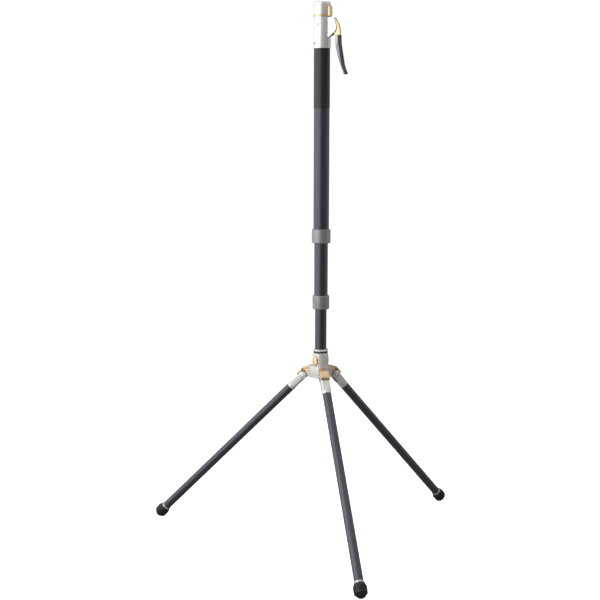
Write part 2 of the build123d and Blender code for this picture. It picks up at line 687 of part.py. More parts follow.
def make_tubes():
    """The three carbon mast tubes."""
    save(sleeve(LOWER_D, LOWER_BORE, LOWER_Z, LOWER_TOP), "lower_tube")
    save(sleeve(MIDDLE_D, MIDDLE_BORE, MIDDLE_Z, MIDDLE_TOP), "middle_tube")
    save(sleeve(UPPER_D, UPPER_BORE, UPPER_Z, HEAD_Z), "upper_tube")


def make_collar(name, low, height, outer_d, tube_d, inner_d, ribs):
    """Collar on the lower end of a tube, with a lip that clears the tube inside it."""
    with BuildPart() as collar:
        extrude(disc(level(low), outer_d), amount=height)
        chamfer(collar.edges().filter_by(GeomType.CIRCLE), COLLAR_CHAMFER)
        pitch = (height - 4 * COLLAR_CHAMFER) / (ribs + 1)
        for count in range(1, ribs + 1):
            groove = level(low + 2 * COLLAR_CHAMFER + count * pitch - pitch / 4)
            with BuildSketch(groove) as ring:
                Circle(outer_d)
                Circle(outer_d / 2 - RIB_DEPTH, mode=Mode.SUBTRACT)
            extrude(ring.sketch, amount=pitch / 2, mode=Mode.SUBTRACT)
        extrude(disc(level(low), inner_d + 2 * GAP), amount=height, mode=Mode.SUBTRACT)
        extrude(disc(level(low + COLLAR_LIP), tube_d + 2 * BOND), amount=height,
                mode=Mode.SUBTRACT)
    save(collar, name)


def make_guide_bushes():
    """Plain bearings inside the lower ends of the middle and upper tubes."""
    save(sleeve(MIDDLE_BORE - 2 * BOND, LOWER_D + 2 * RUN, MIDDLE_Z, MIDDLE_Z + GUIDE_BUSH_L),
         "middle_bush")
    save(sleeve(UPPER_BORE - 2 * BOND, MIDDLE_D + 2 * RUN, UPPER_Z, UPPER_Z + GUIDE_BUSH_L),
         "upper_bush")


def make_brake_guide(name, top, carrier_bore, outer_bore):
    """Guide on top of a tube: plug, rim, and a slit brake drum that the cam spreads."""
    outer_d = outer_bore - 2 * RUN
    height = GUIDE_RIM_L + BRAKE_L
    with BuildPart() as guide:
        extrude(disc(level(top - GUIDE_PLUG_L), carrier_bore - 2 * BOND), amount=GUIDE_PLUG_L)
        extrude(disc(level(top), outer_d), amount=height)
        chamfer(guide.faces().sort_by(Axis.Z)[-1].edges(), 0.8)
        extrude(disc(level(top - GUIDE_PLUG_L), JOURNAL_D + 2 * RUN),
                amount=GUIDE_PLUG_L + height, mode=Mode.SUBTRACT)
        extrude(disc(level(top + GUIDE_RIM_L), BRAKE_POCKET_D), amount=BRAKE_L,
                mode=Mode.SUBTRACT)
        slit = rectangle(level(top + GUIDE_RIM_L), -outer_d, outer_d, -BRAKE_SLIT / 2,
                         BRAKE_SLIT / 2)
        extrude(slit, amount=BRAKE_L, mode=Mode.SUBTRACT)
    save(guide, name)


def make_cam(name, top, across_flats):
    """Brake cam: an oval lobe on a round journal, driven through a hexagonal hole."""
    lobe_z = top + GUIDE_RIM_L + SIDE
    with BuildPart() as cam:
        extrude(disc(level(top), JOURNAL_D), amount=GUIDE_RIM_L + SIDE)
        with BuildSketch(level(lobe_z)) as lobe:
            Ellipse(CAM_SHORT_D / 2, CAM_LONG_D / 2)
        extrude(lobe.sketch, amount=CAM_L)
        extrude(hexagon(level(top), across_flats + 2 * SIDE), amount=GUIDE_RIM_L + SIDE + CAM_L,
                mode=Mode.SUBTRACT)
    save(cam, name)


def make_drive_tube():
    """Hexagonal tube under the middle cam: carries the control rod's turn to the lower cam."""
    low = MIDDLE_TOP - DRIVE_L
    with BuildPart() as drive_tube:
        extrude(hexagon(level(low), DRIVE_AF), amount=DRIVE_L)
        extrude(hexagon(level(low), ROD_AF + 4 * SIDE), amount=DRIVE_L, mode=Mode.SUBTRACT)
    save(drive_tube, "drive_tube")


# ---------------------------------------------------------------- grip and head
def make_grip():
    """Thin sleeve on the top of the upper tube, with a groove near its upper end."""
    with BuildPart() as grip:
        low = HEAD_Z - GRIP_L
        outer_d = UPPER_D + 2 * BOND + 2 * GRIP_T
        extrude(disc(level(low), outer_d), amount=GRIP_L)
        with BuildSketch(level(HEAD_Z - GRIP_GROOVE)) as groove:
            Circle(outer_d)
            Circle(outer_d / 2 - GRIP_T / 2, mode=Mode.SUBTRACT)
        extrude(groove.sketch, amount=1.2, mode=Mode.SUBTRACT)
        extrude(disc(level(low), UPPER_D + 2 * BOND), amount=GRIP_L, mode=Mode.SUBTRACT)
    save(grip, "grip_sleeve")


def make_head_plug():
    """Plug that joins the casting to the upper tube and carries the control rod."""
    with BuildPart() as plug:
        extrude(disc(level(HEAD_Z - HEAD_PLUG_L), UPPER_BORE - 2 * BOND), amount=HEAD_PLUG_L)
        chamfer(plug.faces().sort_by(Axis.Z)[0].edges(), 1.0)
        extrude(disc(level(HEAD_Z), CAVITY_D - 2 * BOND), amount=HEAD_PLUG_RISE)
        extrude(disc(level(HEAD_Z - HEAD_PLUG_L), 1.16 * ROD_AF + 2 * RUN),
                amount=HEAD_PLUG_L + HEAD_PLUG_RISE, mode=Mode.SUBTRACT)
        for azimuth in HEAD_SCREW_AZIMUTHS:
            hole = mast_facing(azimuth, HEAD_D / 2 - HEAD_SCREW_L - 1, HEAD_Z + HEAD_SCREW_RISE)
            extrude(disc(hole, HEAD_SCREW_D), amount=HEAD_D, mode=Mode.SUBTRACT)
    save(plug, "head_plug")


def bracket_outline():
    """Side face of the lever bracket, cast on the head."""
    with BuildSketch(mast_side(HEAD_AZIMUTH)) as bracket:
        with BuildLine():
            Polyline((HEAD_D / 2 - 3, LEVER_Z + 4.0), (LEVER_R - 4.0, LEVER_Z + 4.0),
                     (LEVER_R + 1.0, LEVER_Z + 5.4), (LEVER_R + 4.6, LEVER_Z + 2.0),
                     (LEVER_R + 8.2, LEVER_Z - 8.0), (LEVER_R + 10.8, LEVER_Z - 19.0),
                     (LEVER_R + 6.8, LEVER_Z - 27.0), (LEVER_R + 5.3, LEVER_Z - 29.0),
                     (HEAD_D / 2, LEVER_Z - 39.0), (HEAD_D / 2 - 3, LEVER_Z - 39.0), close=True)
        make_face()
    return bracket.sketch


def make_head_body():
    """Head casting: drum, crank cavity, seat for the spigot socket and the lever bracket."""
    side = mast_side(HEAD_AZIMUTH)
    with BuildPart() as head:
        extrude(bracket_outline(), amount=BRACKET_W / 2, both=True)
        fillet(head.edges().filter_by(Axis((0, 0, 0), side.z_dir))
               .filter_by_position(Axis(side.origin, side.x_dir), LEVER_R, LEVER_R + 12), 2.5)
        extrude(disc(level(HEAD_Z), HEAD_D), amount=HEAD_H)
        extrude(disc(level(HEAD_Z), CAVITY_D), amount=CAVITY_TOP - HEAD_Z, mode=Mode.SUBTRACT)
        extrude(disc(level(SOCKET_Z), SOCKET_D + 2 * BOND), amount=RING_Z - SOCKET_Z,
                mode=Mode.SUBTRACT)
        extrude(rectangle(side, BRACKET_WALL_R, 3 * LEVER_R, HEAD_Z, LEVER_Z + 3 * LEVER_HUB_R),
                amount=ARM_SLOT_W / 2, both=True, mode=Mode.SUBTRACT)
        extrude(disc(side, LEVER_PIN_D, LEVER_R, LEVER_Z), amount=BRACKET_W, both=True,
                mode=Mode.SUBTRACT)
        extrude(disc(mast_facing(HEAD_AZIMUTH, 0, PLUNGER_Z), PLUNGER_D + 2 * RUN),
                amount=2 * HEAD_D, mode=Mode.SUBTRACT)
        for azimuth in HEAD_SCREW_AZIMUTHS:
            extrude(disc(mast_facing(azimuth, 0, HEAD_Z + HEAD_SCREW_RISE), HEAD_SCREW_D),
                    amount=HEAD_D, mode=Mode.SUBTRACT)
        extrude(disc(mast_facing(SOCKET_SCREW_AZIMUTH, 0, RING_Z - SOCKET_SCREW_DROP),
                     SOCKET_SCREW_D), amount=HEAD_D, mode=Mode.SUBTRACT)
    save(head, "head_body")


def make_head_screws():
    """Grub screws that hold the casting on its plug and the spigot socket in the casting."""
    with BuildPart() as screws:
        for azimuth in HEAD_SCREW_AZIMUTHS:
            face = mast_facing(azimuth, HEAD_D / 2 - 0.6, HEAD_Z + HEAD_SCREW_RISE)
            extrude(disc(face, HEAD_SCREW_D), amount=-HEAD_SCREW_L)
            extrude(hexagon(face, HEAD_SCREW_AF), amount=-HEAD_SCREW_L / 2, mode=Mode.SUBTRACT)
        start = SOCKET_D / 2 + GAP
        length = HEAD_D / 2 - start - GAP
        inner = mast_facing(SOCKET_SCREW_AZIMUTH, start, RING_Z - SOCKET_SCREW_DROP)
        extrude(disc(inner, SOCKET_SCREW_D), amount=length)
        extrude(hexagon(inner.offset(length), SOCKET_SCREW_AF), amount=-length / 4,
                mode=Mode.SUBTRACT)
    save(screws, "head_screws")


def make_spigot_socket():
    """Lined socket for the spigot, closed below, with a slot for the clamping shoe."""
    top = TOP_Z - SOCKET_CHAMFER
    with BuildPart() as socket:
        extrude(disc(level(SOCKET_Z), SOCKET_D), amount=top - SOCKET_Z)
        extrude(disc(level(SOCKET_Z + SOCKET_FLOOR), SPIGOT_D), amount=top - SOCKET_Z,
                mode=Mode.SUBTRACT)
        extrude(rectangle(mast_facing(SHOE_AZIMUTH, 0, SHOE_Z), -SHOE_W / 2 - SIDE,
                          SHOE_W / 2 + SIDE, -SHOE_H / 2 - SIDE, SHOE_H / 2 + SIDE),
                amount=SOCKET_D, mode=Mode.SUBTRACT)
    save(socket, "spigot_socket")


def make_head_cap():
    """Rounded cap over the twist ring, with a rim below that centres the ring."""
    with BuildPart() as cap:
        extrude(disc(level(CAP_Z), HEAD_D), amount=CAP_H)
        fillet(cap.faces().sort_by(Axis.Z)[-1].edges(), CAP_EDGE)
        rim_d = REGISTER_D - 2 * RUN
        extrude(disc(level(CAP_Z), rim_d), amount=-REGISTER_H)
        extrude(disc(level(CAP_Z), rim_d - 2 * REGISTER_T), amount=-REGISTER_H,
                mode=Mode.SUBTRACT)
        extrude(disc(level(CAP_Z), SOCKET_D + 2 * BOND), amount=CAP_H, mode=Mode.SUBTRACT)
    save(cap, "head_cap")


def make_twist_ring():
    """Ring with an eccentric bore that drives the clamping shoe, and a thumb tab."""
    far_side = radians(SHOE_AZIMUTH + RING_LEAD)
    low = RING_Z + SIDE
    height = RING_H - 2 * SIDE
    with BuildPart() as ring:
        tab_z = RING_Z - TAB_DROP + TAB_H / 2
        with BuildSketch(mast_facing(HEAD_AZIMUTH, 0, tab_z)) as tab:
            RectangleRounded(TAB_W, TAB_H, TAB_W / 3)
        extrude(tab.sketch, amount=RING_D)
        tab_d = HEAD_D + 2 * GAP
        with BuildSketch(mast_side(HEAD_AZIMUTH)) as swell:
            with Locations((tab_d / 2 - TAB_ROOT, tab_z)):
                Ellipse(TAB_T + TAB_ROOT, TAB_H / 2)
        extrude(swell.sketch, amount=TAB_W, both=True, mode=Mode.INTERSECT)
        extrude(disc(level(HEAD_Z), tab_d + 2 * TAB_T), amount=TOP_Z - HEAD_Z,
                mode=Mode.INTERSECT)
        extrude(disc(level(HEAD_Z), tab_d), amount=TOP_Z - HEAD_Z, mode=Mode.SUBTRACT)
        extrude(disc(level(low), RING_D), amount=height)
        extrude(disc(level(low), RING_BORE_D, RING_OFFSET * cos(far_side),
                     RING_OFFSET * sin(far_side)), amount=height, mode=Mode.SUBTRACT)
        extrude(disc(level(CAP_Z), REGISTER_D), amount=-REGISTER_H - SIDE, mode=Mode.SUBTRACT)
    save(ring, "twist_ring")


def make_shoe():
    """Brass shoe that the ring presses on the spigot."""
    with BuildPart() as shoe:
        plane = mast_facing(SHOE_AZIMUTH, 0, SHOE_Z)
        extrude(rectangle(plane, -SHOE_W / 2, SHOE_W / 2, -SHOE_H / 2, SHOE_H / 2),
                amount=RING_D)
        extrude(disc(level(RING_Z), 2 * SHOE_OUT_R), amount=RING_H, mode=Mode.INTERSECT)
        extrude(disc(level(RING_Z), SPIGOT_D + 2 * RUN), amount=RING_H, mode=Mode.SUBTRACT)
    save(shoe, "spigot_shoe")


# ---------------------------------------------------------------- trigger
def make_lever_arm():
    """Lever arm: hub on the pin, curved web, and a nose that pushes the plunger."""
    side = mast_side(HEAD_AZIMUTH)
    handle_z = LEVER_Z - HANDLE_DROP
    nose_z = LEVER_Z - NOSE_DROP
    with BuildPart() as arm:
        with BuildSketch(side) as web:
            with BuildLine():
                Polyline((LEVER_R - 3.0, LEVER_Z - 2.7), (LEVER_R + 3.5, LEVER_Z - 12.0),
                         (LEVER_R + 7.3, LEVER_Z - 19.0), (LEVER_R + 7.3, LEVER_Z - 25.0),
                         (NOSE_R, nose_z + NOSE_H / 2), (NOSE_R, nose_z - NOSE_H / 2),
                         (LEVER_R + 6.8, handle_z), (LEVER_R + 17.5, handle_z))
                Spline((LEVER_R + 17.5, handle_z), (LEVER_R + 17.4, LEVER_Z - 27.0),
                       (LEVER_R + 15.8, LEVER_Z - 18.0), (LEVER_R + 3.0, LEVER_Z + 2.7))
                Line((LEVER_R + 3.0, LEVER_Z + 2.7), (LEVER_R - 3.0, LEVER_Z - 2.7))
            make_face()
            with Locations((LEVER_R, LEVER_Z)):
                Circle(LEVER_HUB_R)
        extrude(web.sketch, amount=ARM_W / 2, both=True)
        extrude(disc(side, LEVER_PIN_D + 2 * RUN, LEVER_R, LEVER_Z), amount=ARM_W, both=True,
                mode=Mode.SUBTRACT)
    save(arm, "lever_arm")


def handle_edge(offset_out):
    """Points down the outer edge of the handle, moved out by an offset."""
    drops = ((17.5, HANDLE_DROP), (18.4, 56.0), (22.8, 81.0), (28.0, 106.0), (33.8, 118.5))
    return [(LEVER_R + out + offset_out, LEVER_Z - down) for out, down in drops]


def make_handle():
    """Handle of the lever, and the rubber pad on its outer edge."""
    side = mast_side(HEAD_AZIMUTH)
    inner = [(LEVER_R + out, LEVER_Z - down)
             for out, down in ((6.8, HANDLE_DROP), (8.2, 56.0), (12.0, 74.0), (18.4, 94.5),
                               (28.5, 118.5))]
    outer = handle_edge(-PAD_T)
    tip = (LEVER_R + 31.3, LEVER_Z - 122.8)
    with BuildPart() as handle:
        with BuildSketch(side) as blade:
            with BuildLine():
                Spline(*inner)
                ThreePointArc(inner[-1], (LEVER_R + 29.1, LEVER_Z - 121.6), tip)
                Line(tip, outer[-1])
                Spline(*outer)
                Line(outer[0], inner[0])
            make_face()
        extrude(blade.sketch, amount=HANDLE_W / 2, both=True)
        sides = handle.faces().filter_by(Axis((0, 0, 0), side.z_dir))
        chamfer(sides.edges().filter_by(GeomType.BSPLINE), 0.8)
    save(handle, "lever_handle")
    skin = handle_edge(0)
    with BuildPart() as pad:
        with BuildSketch(side) as strip:
            with BuildLine():
                Spline(*outer)
                Line(outer[-1], tip)
                ThreePointArc(tip, (LEVER_R + 33.4, LEVER_Z - 121.6), skin[-1])
                Spline(*skin)
                Line(skin[0], outer[0])
            make_face()
        extrude(strip.sketch, amount=HANDLE_W / 2, both=True)
    save(pad, "lever_pad")


def make_lever_pin():
    """Pin of the lever, headed on both sides of the bracket."""
    side = mast_side(HEAD_AZIMUTH)
    with BuildPart() as pin:
        extrude(disc(side, LEVER_PIN_D, LEVER_R, LEVER_Z), amount=BRACKET_W / 2, both=True)
        for way in (1, -1):
            extrude(disc(side.offset(way * BRACKET_W / 2), LEVER_PIN_HEAD_D, LEVER_R, LEVER_Z),
                    amount=way * LEVER_PIN_HEAD_H)
    save(pin, "lever_pin")


def make_plunger():
    """Plunger from the lever's nose to a slotted crosshead over the crank."""
    pin_r = PLUNGER_TRAVEL / 2
    head_in = pin_r - CROSSHEAD_T / 2
    end_r = NOSE_R - GAP
    inner_y = CRANK_R * cos(radians(CRANK_START)) - CRANK_PIN_D / 2 - GAP
    plane = level(PLUNGER_Z - PLUNGER_D / 2, HEAD_AZIMUTH)
    with BuildPart() as plunger:
        extrude(disc(mast_facing(HEAD_AZIMUTH, pin_r, PLUNGER_Z), PLUNGER_D),
                amount=end_r - pin_r)
        outwards = Axis(level(0).origin, level(0, HEAD_AZIMUTH).x_dir)
        chamfer(plunger.faces().sort_by(outwards)[-1].edges(), PLUNGER_END)
        extrude(rectangle(plane, head_in, head_in + CROSSHEAD_T, -PLUNGER_D / 2,
                          CROSSHEAD_W - PLUNGER_D / 2), amount=PLUNGER_D)
        extrude(rectangle(plane, pin_r - CRANK_PIN_D / 2 - SIDE, pin_r + CRANK_PIN_D / 2 + SIDE,
                          inner_y, HEAD_D), amount=PLUNGER_D, mode=Mode.SUBTRACT)
        extrude(disc(mast_facing(HEAD_AZIMUTH, head_in, PLUNGER_Z), TAIL_D), amount=-TAIL_L)
    save(plunger, "plunger")


def make_plunger_spring():
    """Spring that returns the plunger and the lever."""
    start = PLUNGER_TRAVEL / 2 - CROSSHEAD_T / 2
    facing = mast_facing(HEAD_AZIMUTH, start, PLUNGER_Z)
    inwards = Plane(origin=facing.origin, x_dir=facing.x_dir, z_dir=-facing.z_dir)
    save(coil(inwards, PLUNGER_SPRING_D, PLUNGER_SPRING_WIRE, CAVITY_D / 2 + start - GAP, 6),
         "plunger_spring")


def make_control_rod():
    """Hexagonal control rod with a crank disc and pin on its upper end."""
    start = radians(90 - CRANK_START)
    with BuildPart() as rod:
        extrude(hexagon(level(CRANK_Z), ROD_AF), amount=-ROD_L)
        extrude(disc(level(CRANK_Z), CRANK_D), amount=CRANK_T)
        extrude(disc(level(CRANK_Z, HEAD_AZIMUTH), CRANK_PIN_D, CRANK_R * cos(start),
                     CRANK_R * sin(start)), amount=PLUNGER_Z + PLUNGER_D / 2 - CRANK_Z)
    save(rod, "control_rod")


# ---------------------------------------------------------------- build
def main():
    """Make every piece."""
    os.makedirs("parts", exist_ok=True)
    make_leg_block()
    make_base_cap()
    make_base_screws()
    make_hub_body()
    make_socket_bushes()
    make_button_springs()
    for name in BUTTON_AZIMUTHS:
        make_button(name)
        make_yoke(name)
    for name, azimuth in LEG_AZIMUTHS.items():
        make_fork(name, azimuth)
        make_leg_pin(name, azimuth)
        make_stop(name, azimuth)
        make_stop_spring(name, azimuth)
        make_leg_tube(name, azimuth)
        make_foot_ring(name, azimuth)
        make_foot(name, azimuth)
    make_mast_base()
    save(sleeve(WASHER_D, PLUG_D + 2 * BOND, HUB_TOP, FLANGE_Z), "base_washer")
    make_tubes()
    make_collar("middle_collar", MIDDLE_COLLAR_Z, MIDDLE_COLLAR_H, MIDDLE_COLLAR_D, MIDDLE_D,
                LOWER_D, COLLAR_RIBS)
    make_collar("upper_collar", UPPER_COLLAR_Z, UPPER_COLLAR_H, UPPER_COLLAR_D, UPPER_D,
                MIDDLE_D, 0)
    make_guide_bushes()
    make_brake_guide("lower_guide", LOWER_TOP, LOWER_BORE, MIDDLE_BORE)
    make_brake_guide("middle_guide", MIDDLE_TOP, MIDDLE_BORE, UPPER_BORE)
    make_cam("lower_cam", LOWER_TOP, DRIVE_AF)
    make_cam("middle_cam", MIDDLE_TOP, ROD_AF)
    make_drive_tube()
    make_grip()
    make_head_plug()
    make_head_body()
    make_head_screws()
    make_spigot_socket()
    make_head_cap()
    make_twist_ring()
    make_shoe()
    make_lever_arm()
    make_handle()
    make_lever_pin()
    make_plunger()
    make_plunger_spring()
    make_control_rod()


if __name__ == "__main__":
    main()
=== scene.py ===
"""Looks of a folding light stand.

The stand has a cast head with a squeeze trigger, a three-section carbon mast and three carbon legs
on sprung stops. Turned pieces are lathed here, castings are rounded copies of the frame's own
shapes, and what repeats round a piece is made by geometry nodes. Metres, +Z up.
"""

import json
import logging
from dataclasses import dataclass, field
from enum import Enum
from math import cos, pi, radians, sin

import bmesh
import bpy
from mathutils import Matrix, Vector


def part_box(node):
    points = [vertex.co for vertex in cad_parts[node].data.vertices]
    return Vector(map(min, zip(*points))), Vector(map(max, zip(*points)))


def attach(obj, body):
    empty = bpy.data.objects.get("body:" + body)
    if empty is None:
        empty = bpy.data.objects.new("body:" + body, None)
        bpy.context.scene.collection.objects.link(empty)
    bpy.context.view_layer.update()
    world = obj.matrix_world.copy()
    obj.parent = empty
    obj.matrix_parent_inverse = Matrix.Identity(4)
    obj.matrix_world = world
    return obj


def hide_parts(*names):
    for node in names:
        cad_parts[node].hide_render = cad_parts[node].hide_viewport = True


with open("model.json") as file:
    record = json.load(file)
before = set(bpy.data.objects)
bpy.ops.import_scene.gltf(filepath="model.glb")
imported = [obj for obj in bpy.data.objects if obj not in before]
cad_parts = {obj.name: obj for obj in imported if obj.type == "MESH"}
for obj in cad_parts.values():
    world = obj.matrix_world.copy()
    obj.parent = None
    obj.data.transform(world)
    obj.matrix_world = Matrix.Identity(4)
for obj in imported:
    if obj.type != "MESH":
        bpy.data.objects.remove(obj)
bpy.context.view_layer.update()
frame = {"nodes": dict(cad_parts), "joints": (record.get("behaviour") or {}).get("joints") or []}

log = logging.getLogger("stand")
MM = 0.001
LEG_NAMES = ("front", "right", "left")
BUTTON_NAMES = ("left", "right")
UP = Vector((0, 0, 1)).freeze()
SLEEVE_GAP = 0.05 * MM  # between a tube and what is sleeved over it
WELD = 0.002 * MM  # corners closer than this become one
NEARLY_FLAT = radians(0.6)  # faces that meet at less than this become one
MOST_CUT = 0.45  # share of a profile's side that one rounding may take

Socket = bpy.types.NodeSocket
Color = tuple[float, float, float]
Outline = tuple[tuple[float, float], ...]
Spans = tuple[tuple[float, float], ...]


class Tread(Enum):
    """How the pieces of a repeated pattern lie on their axle."""

    RINGS = "rings"
    FLUTES = "flutes"


# ------------------------------------------------------------------ places
@dataclass(frozen=True)
class Axle:
    """Line that turned pieces are made about.

    Attributes:
        origin: A point on the line.
        direction: Unit vector along it.
    """

    origin: Vector
    direction: Vector

    def matrix(self) -> Matrix:
        """Returns the matrix that takes +Z at the origin to this line."""
        turn = self.direction.to_track_quat("Z", "Y").to_matrix().to_4x4()
        return Matrix.Translation(self.origin) @ turn

    def at(self, distance: float) -> "Axle":
        """Returns the same line with its origin moved along it."""
        return Axle(self.origin + self.direction * distance, self.direction)

    def along(self, point: Vector) -> float:
        """Returns how far along the line a point lies."""
        return (point - self.origin).dot(self.direction)

    def outward(self) -> Vector:
        """Returns the level direction that the line leans in."""
        return Vector((self.direction.x, self.direction.y, 0)).normalized()


def joint(name: str) -> dict:
    """Returns the frame's joint of that name."""
    return next(j for j in frame["joints"] if j["name"] == name)


def mast_axle() -> Axle:
    """Returns the mast's axis, with its origin on the floor."""
    low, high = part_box("upper_tube")
    return Axle(Vector(((low.x + high.x) / 2, (low.y + high.y) / 2, 0)), UP)


def leg_axle(leg: str) -> Axle:
    """Returns a leg's axis, from its pivot towards its foot."""
    pivot = Vector(joint(f"leg_{leg}_fold")["pos_m"])
    return Axle(pivot, Vector(joint(f"stop_{leg}_slide")["axis"]).normalized())


def reach(node: str, axle: Axle) -> tuple[float, float]:
    """Returns where a CAD node starts and ends along an axle."""
    spots = [axle.along(v.co) for v in frame["nodes"][node].data.vertices]
    return min(spots), max(spots)


def girth(node: str, axle: Axle) -> float:
    """Returns the largest radius of a CAD node about an axle."""
    best = 0.0
    for vertex in frame["nodes"][node].data.vertices:
        arm = vertex.co - axle.origin
        best = max(best, (arm - axle.direction * arm.dot(axle.direction)).length)
    return best


# ------------------------------------------------------------------ finishes
class Shader:
    """Node tree of one material.

    Args:
        name: The material's name.
    """

    def __init__(self, name: str) -> None:
        self.material = bpy.data.materials.new(name)
        self.material.use_nodes = True
        self.tree = self.material.node_tree
        self.surface = self.tree.nodes["Principled BSDF"]

    def add(self, kind: str, **settings) -> bpy.types.Node:
        """Adds a node and sets its properties.

        Args:
            kind: The node's type, such as ShaderNodeMath.
            **settings: Properties of the node.

        Returns:
            The new node.
        """
        node = self.tree.nodes.new(kind)
        for key, value in settings.items():
            setattr(node, key, value)
        return node

    def join(self, source: Socket, target: Socket) -> None:
        """Links an output to an input."""
        self.tree.links.new(source, target)

    def calc(self, operation: str, *terms) -> Socket:
        """Adds a Math node.

        Args:
            operation: The node's operation.
            *terms: Sockets or numbers.

        Returns:
            Its output.
        """
        node = self.add("ShaderNodeMath", operation=operation)
        for place, term in enumerate(terms):
            if isinstance(term, (int, float)):
                node.inputs[place].default_value = term
            else:
                self.join(term, node.inputs[place])
        return node.outputs[0]

    def place(self, axle: Axle | None = None) -> Socket:
        """Returns object coordinates, turned so that +Z runs along an axle."""
        coords = self.add("ShaderNodeTexCoord").outputs["Object"]
        if axle is None:
            return coords
        inverse = axle.matrix().inverted()
        mapping = self.add("ShaderNodeMapping")
        mapping.inputs["Location"].default_value = inverse.translation
        mapping.inputs["Rotation"].default_value = inverse.to_euler()
        self.join(coords, mapping.inputs["Vector"])
        return mapping.outputs[0]

    def noise(self, vector: Socket, size: float, detail: float = 3.0,
              stretch: tuple[float, float, float] = (1, 1, 1)) -> Socket:
        """Adds noise whose features have about the given size in metres.

        Args:
            vector: Coordinates in metres.
            size: Size of a feature.
            detail: Octaves.
            stretch: Scale along each axis.

        Returns:
            The noise, about 0.5.
        """
        mapping = self.add("ShaderNodeMapping")
        mapping.inputs["Scale"].default_value = stretch
        self.join(vector, mapping.inputs["Vector"])
        noise = self.add("ShaderNodeTexNoise")
        noise.inputs["Scale"].default_value = 1 / size
        noise.inputs["Detail"].default_value = detail
        self.join(mapping.outputs[0], noise.inputs["Vector"])
        return noise.outputs["Fac"]

    def spread(self, value: Socket, low: float, high: float,
               start: float = 0.3, end: float = 0.7) -> Socket:
        """Maps a value from one range to another, clamped.

        Args:
            value: The value.
            low: Result at start.
            high: Result at end.
            start: Value that gives low.
            end: Value that gives high.

        Returns:
            The mapped value.
        """
        node = self.add("ShaderNodeMapRange")
        for key, number in (("From Min", start), ("From Max", end),
                            ("To Min", low), ("To Max", high)):
            node.inputs[key].default_value = number
        self.join(value, node.inputs["Value"])
        return node.outputs[0]

    def mix(self, factor: Socket, first: Color, second: Color) -> Socket:
        """Mixes two colours by a factor."""
        node = self.add("ShaderNodeMix", data_type="RGBA")
        self.join(factor, node.inputs["Factor"])
        node.inputs["A"].default_value = (*first, 1)
        node.inputs["B"].default_value = (*second, 1)
        return node.outputs["Result"]

    def bump(self, height: Socket, depth: float) -> None:
        """Bumps the surface by a height of about the given depth in metres."""
        node = self.add("ShaderNodeBump")
        node.inputs["Distance"].default_value = depth
        self.join(height, node.inputs["Height"])
        self.join(node.outputs[0], self.surface.inputs["Normal"])


@dataclass(frozen=True)
class Metal:
    """Bead-blasted, anodised or turned metal.

    Attributes:
        name: Name of the material.
        color: Main colour.
        tint: Colour of the cloudy patches.
        rough: Lowest and highest roughness.
        grain: Size of the surface grain.
        depth: Depth of the grain.
        metallic: How much of the surface is bare metal.
        turned: Whether the grain runs in rings about the mast.
        lines: Pitch of fine level lines, or 0 for none.
        line_depth: Depth of the lines.
        cloud: Size of the cloudy patches.
    """

    name: str
    color: Color
    tint: Color
    rough: tuple[float, float] = (0.28, 0.40)
    grain: float = 0.6 * MM
    depth: float = 0.02 * MM
    metallic: float = 1.0
    turned: bool = False
    lines: float = 0.0
    line_depth: float = 0.10 * MM
    cloud: float = 14 * MM

    def build(self) -> bpy.types.Material:
        """Returns the material."""
        shader = Shader(self.name)
        coords = shader.place()
        clouds = shader.noise(coords, self.cloud, 4.0)
        stretch = (0.25, 0.25, 6.0) if self.turned else (1, 1, 1)
        grain = shader.noise(coords, self.grain, 2.0, stretch)
        shader.join(shader.mix(shader.spread(clouds, 0, 1), self.color, self.tint),
                    shader.surface.inputs["Base Color"])
        shader.join(shader.spread(grain, *self.rough), shader.surface.inputs["Roughness"])
        shader.surface.inputs["Metallic"].default_value = self.metallic
        if self.lines:
            split = shader.add("ShaderNodeSeparateXYZ")
            shader.join(coords, split.inputs[0])
            level = shader.calc("MULTIPLY", split.outputs[2], 1 / self.lines)
            wave = shader.calc("PINGPONG", level, 0.5)
            shader.bump(shader.spread(wave, 0.0, 1.0, 0.02, 0.14), self.line_depth)
        else:
            shader.bump(grain, self.depth)
        return shader.material


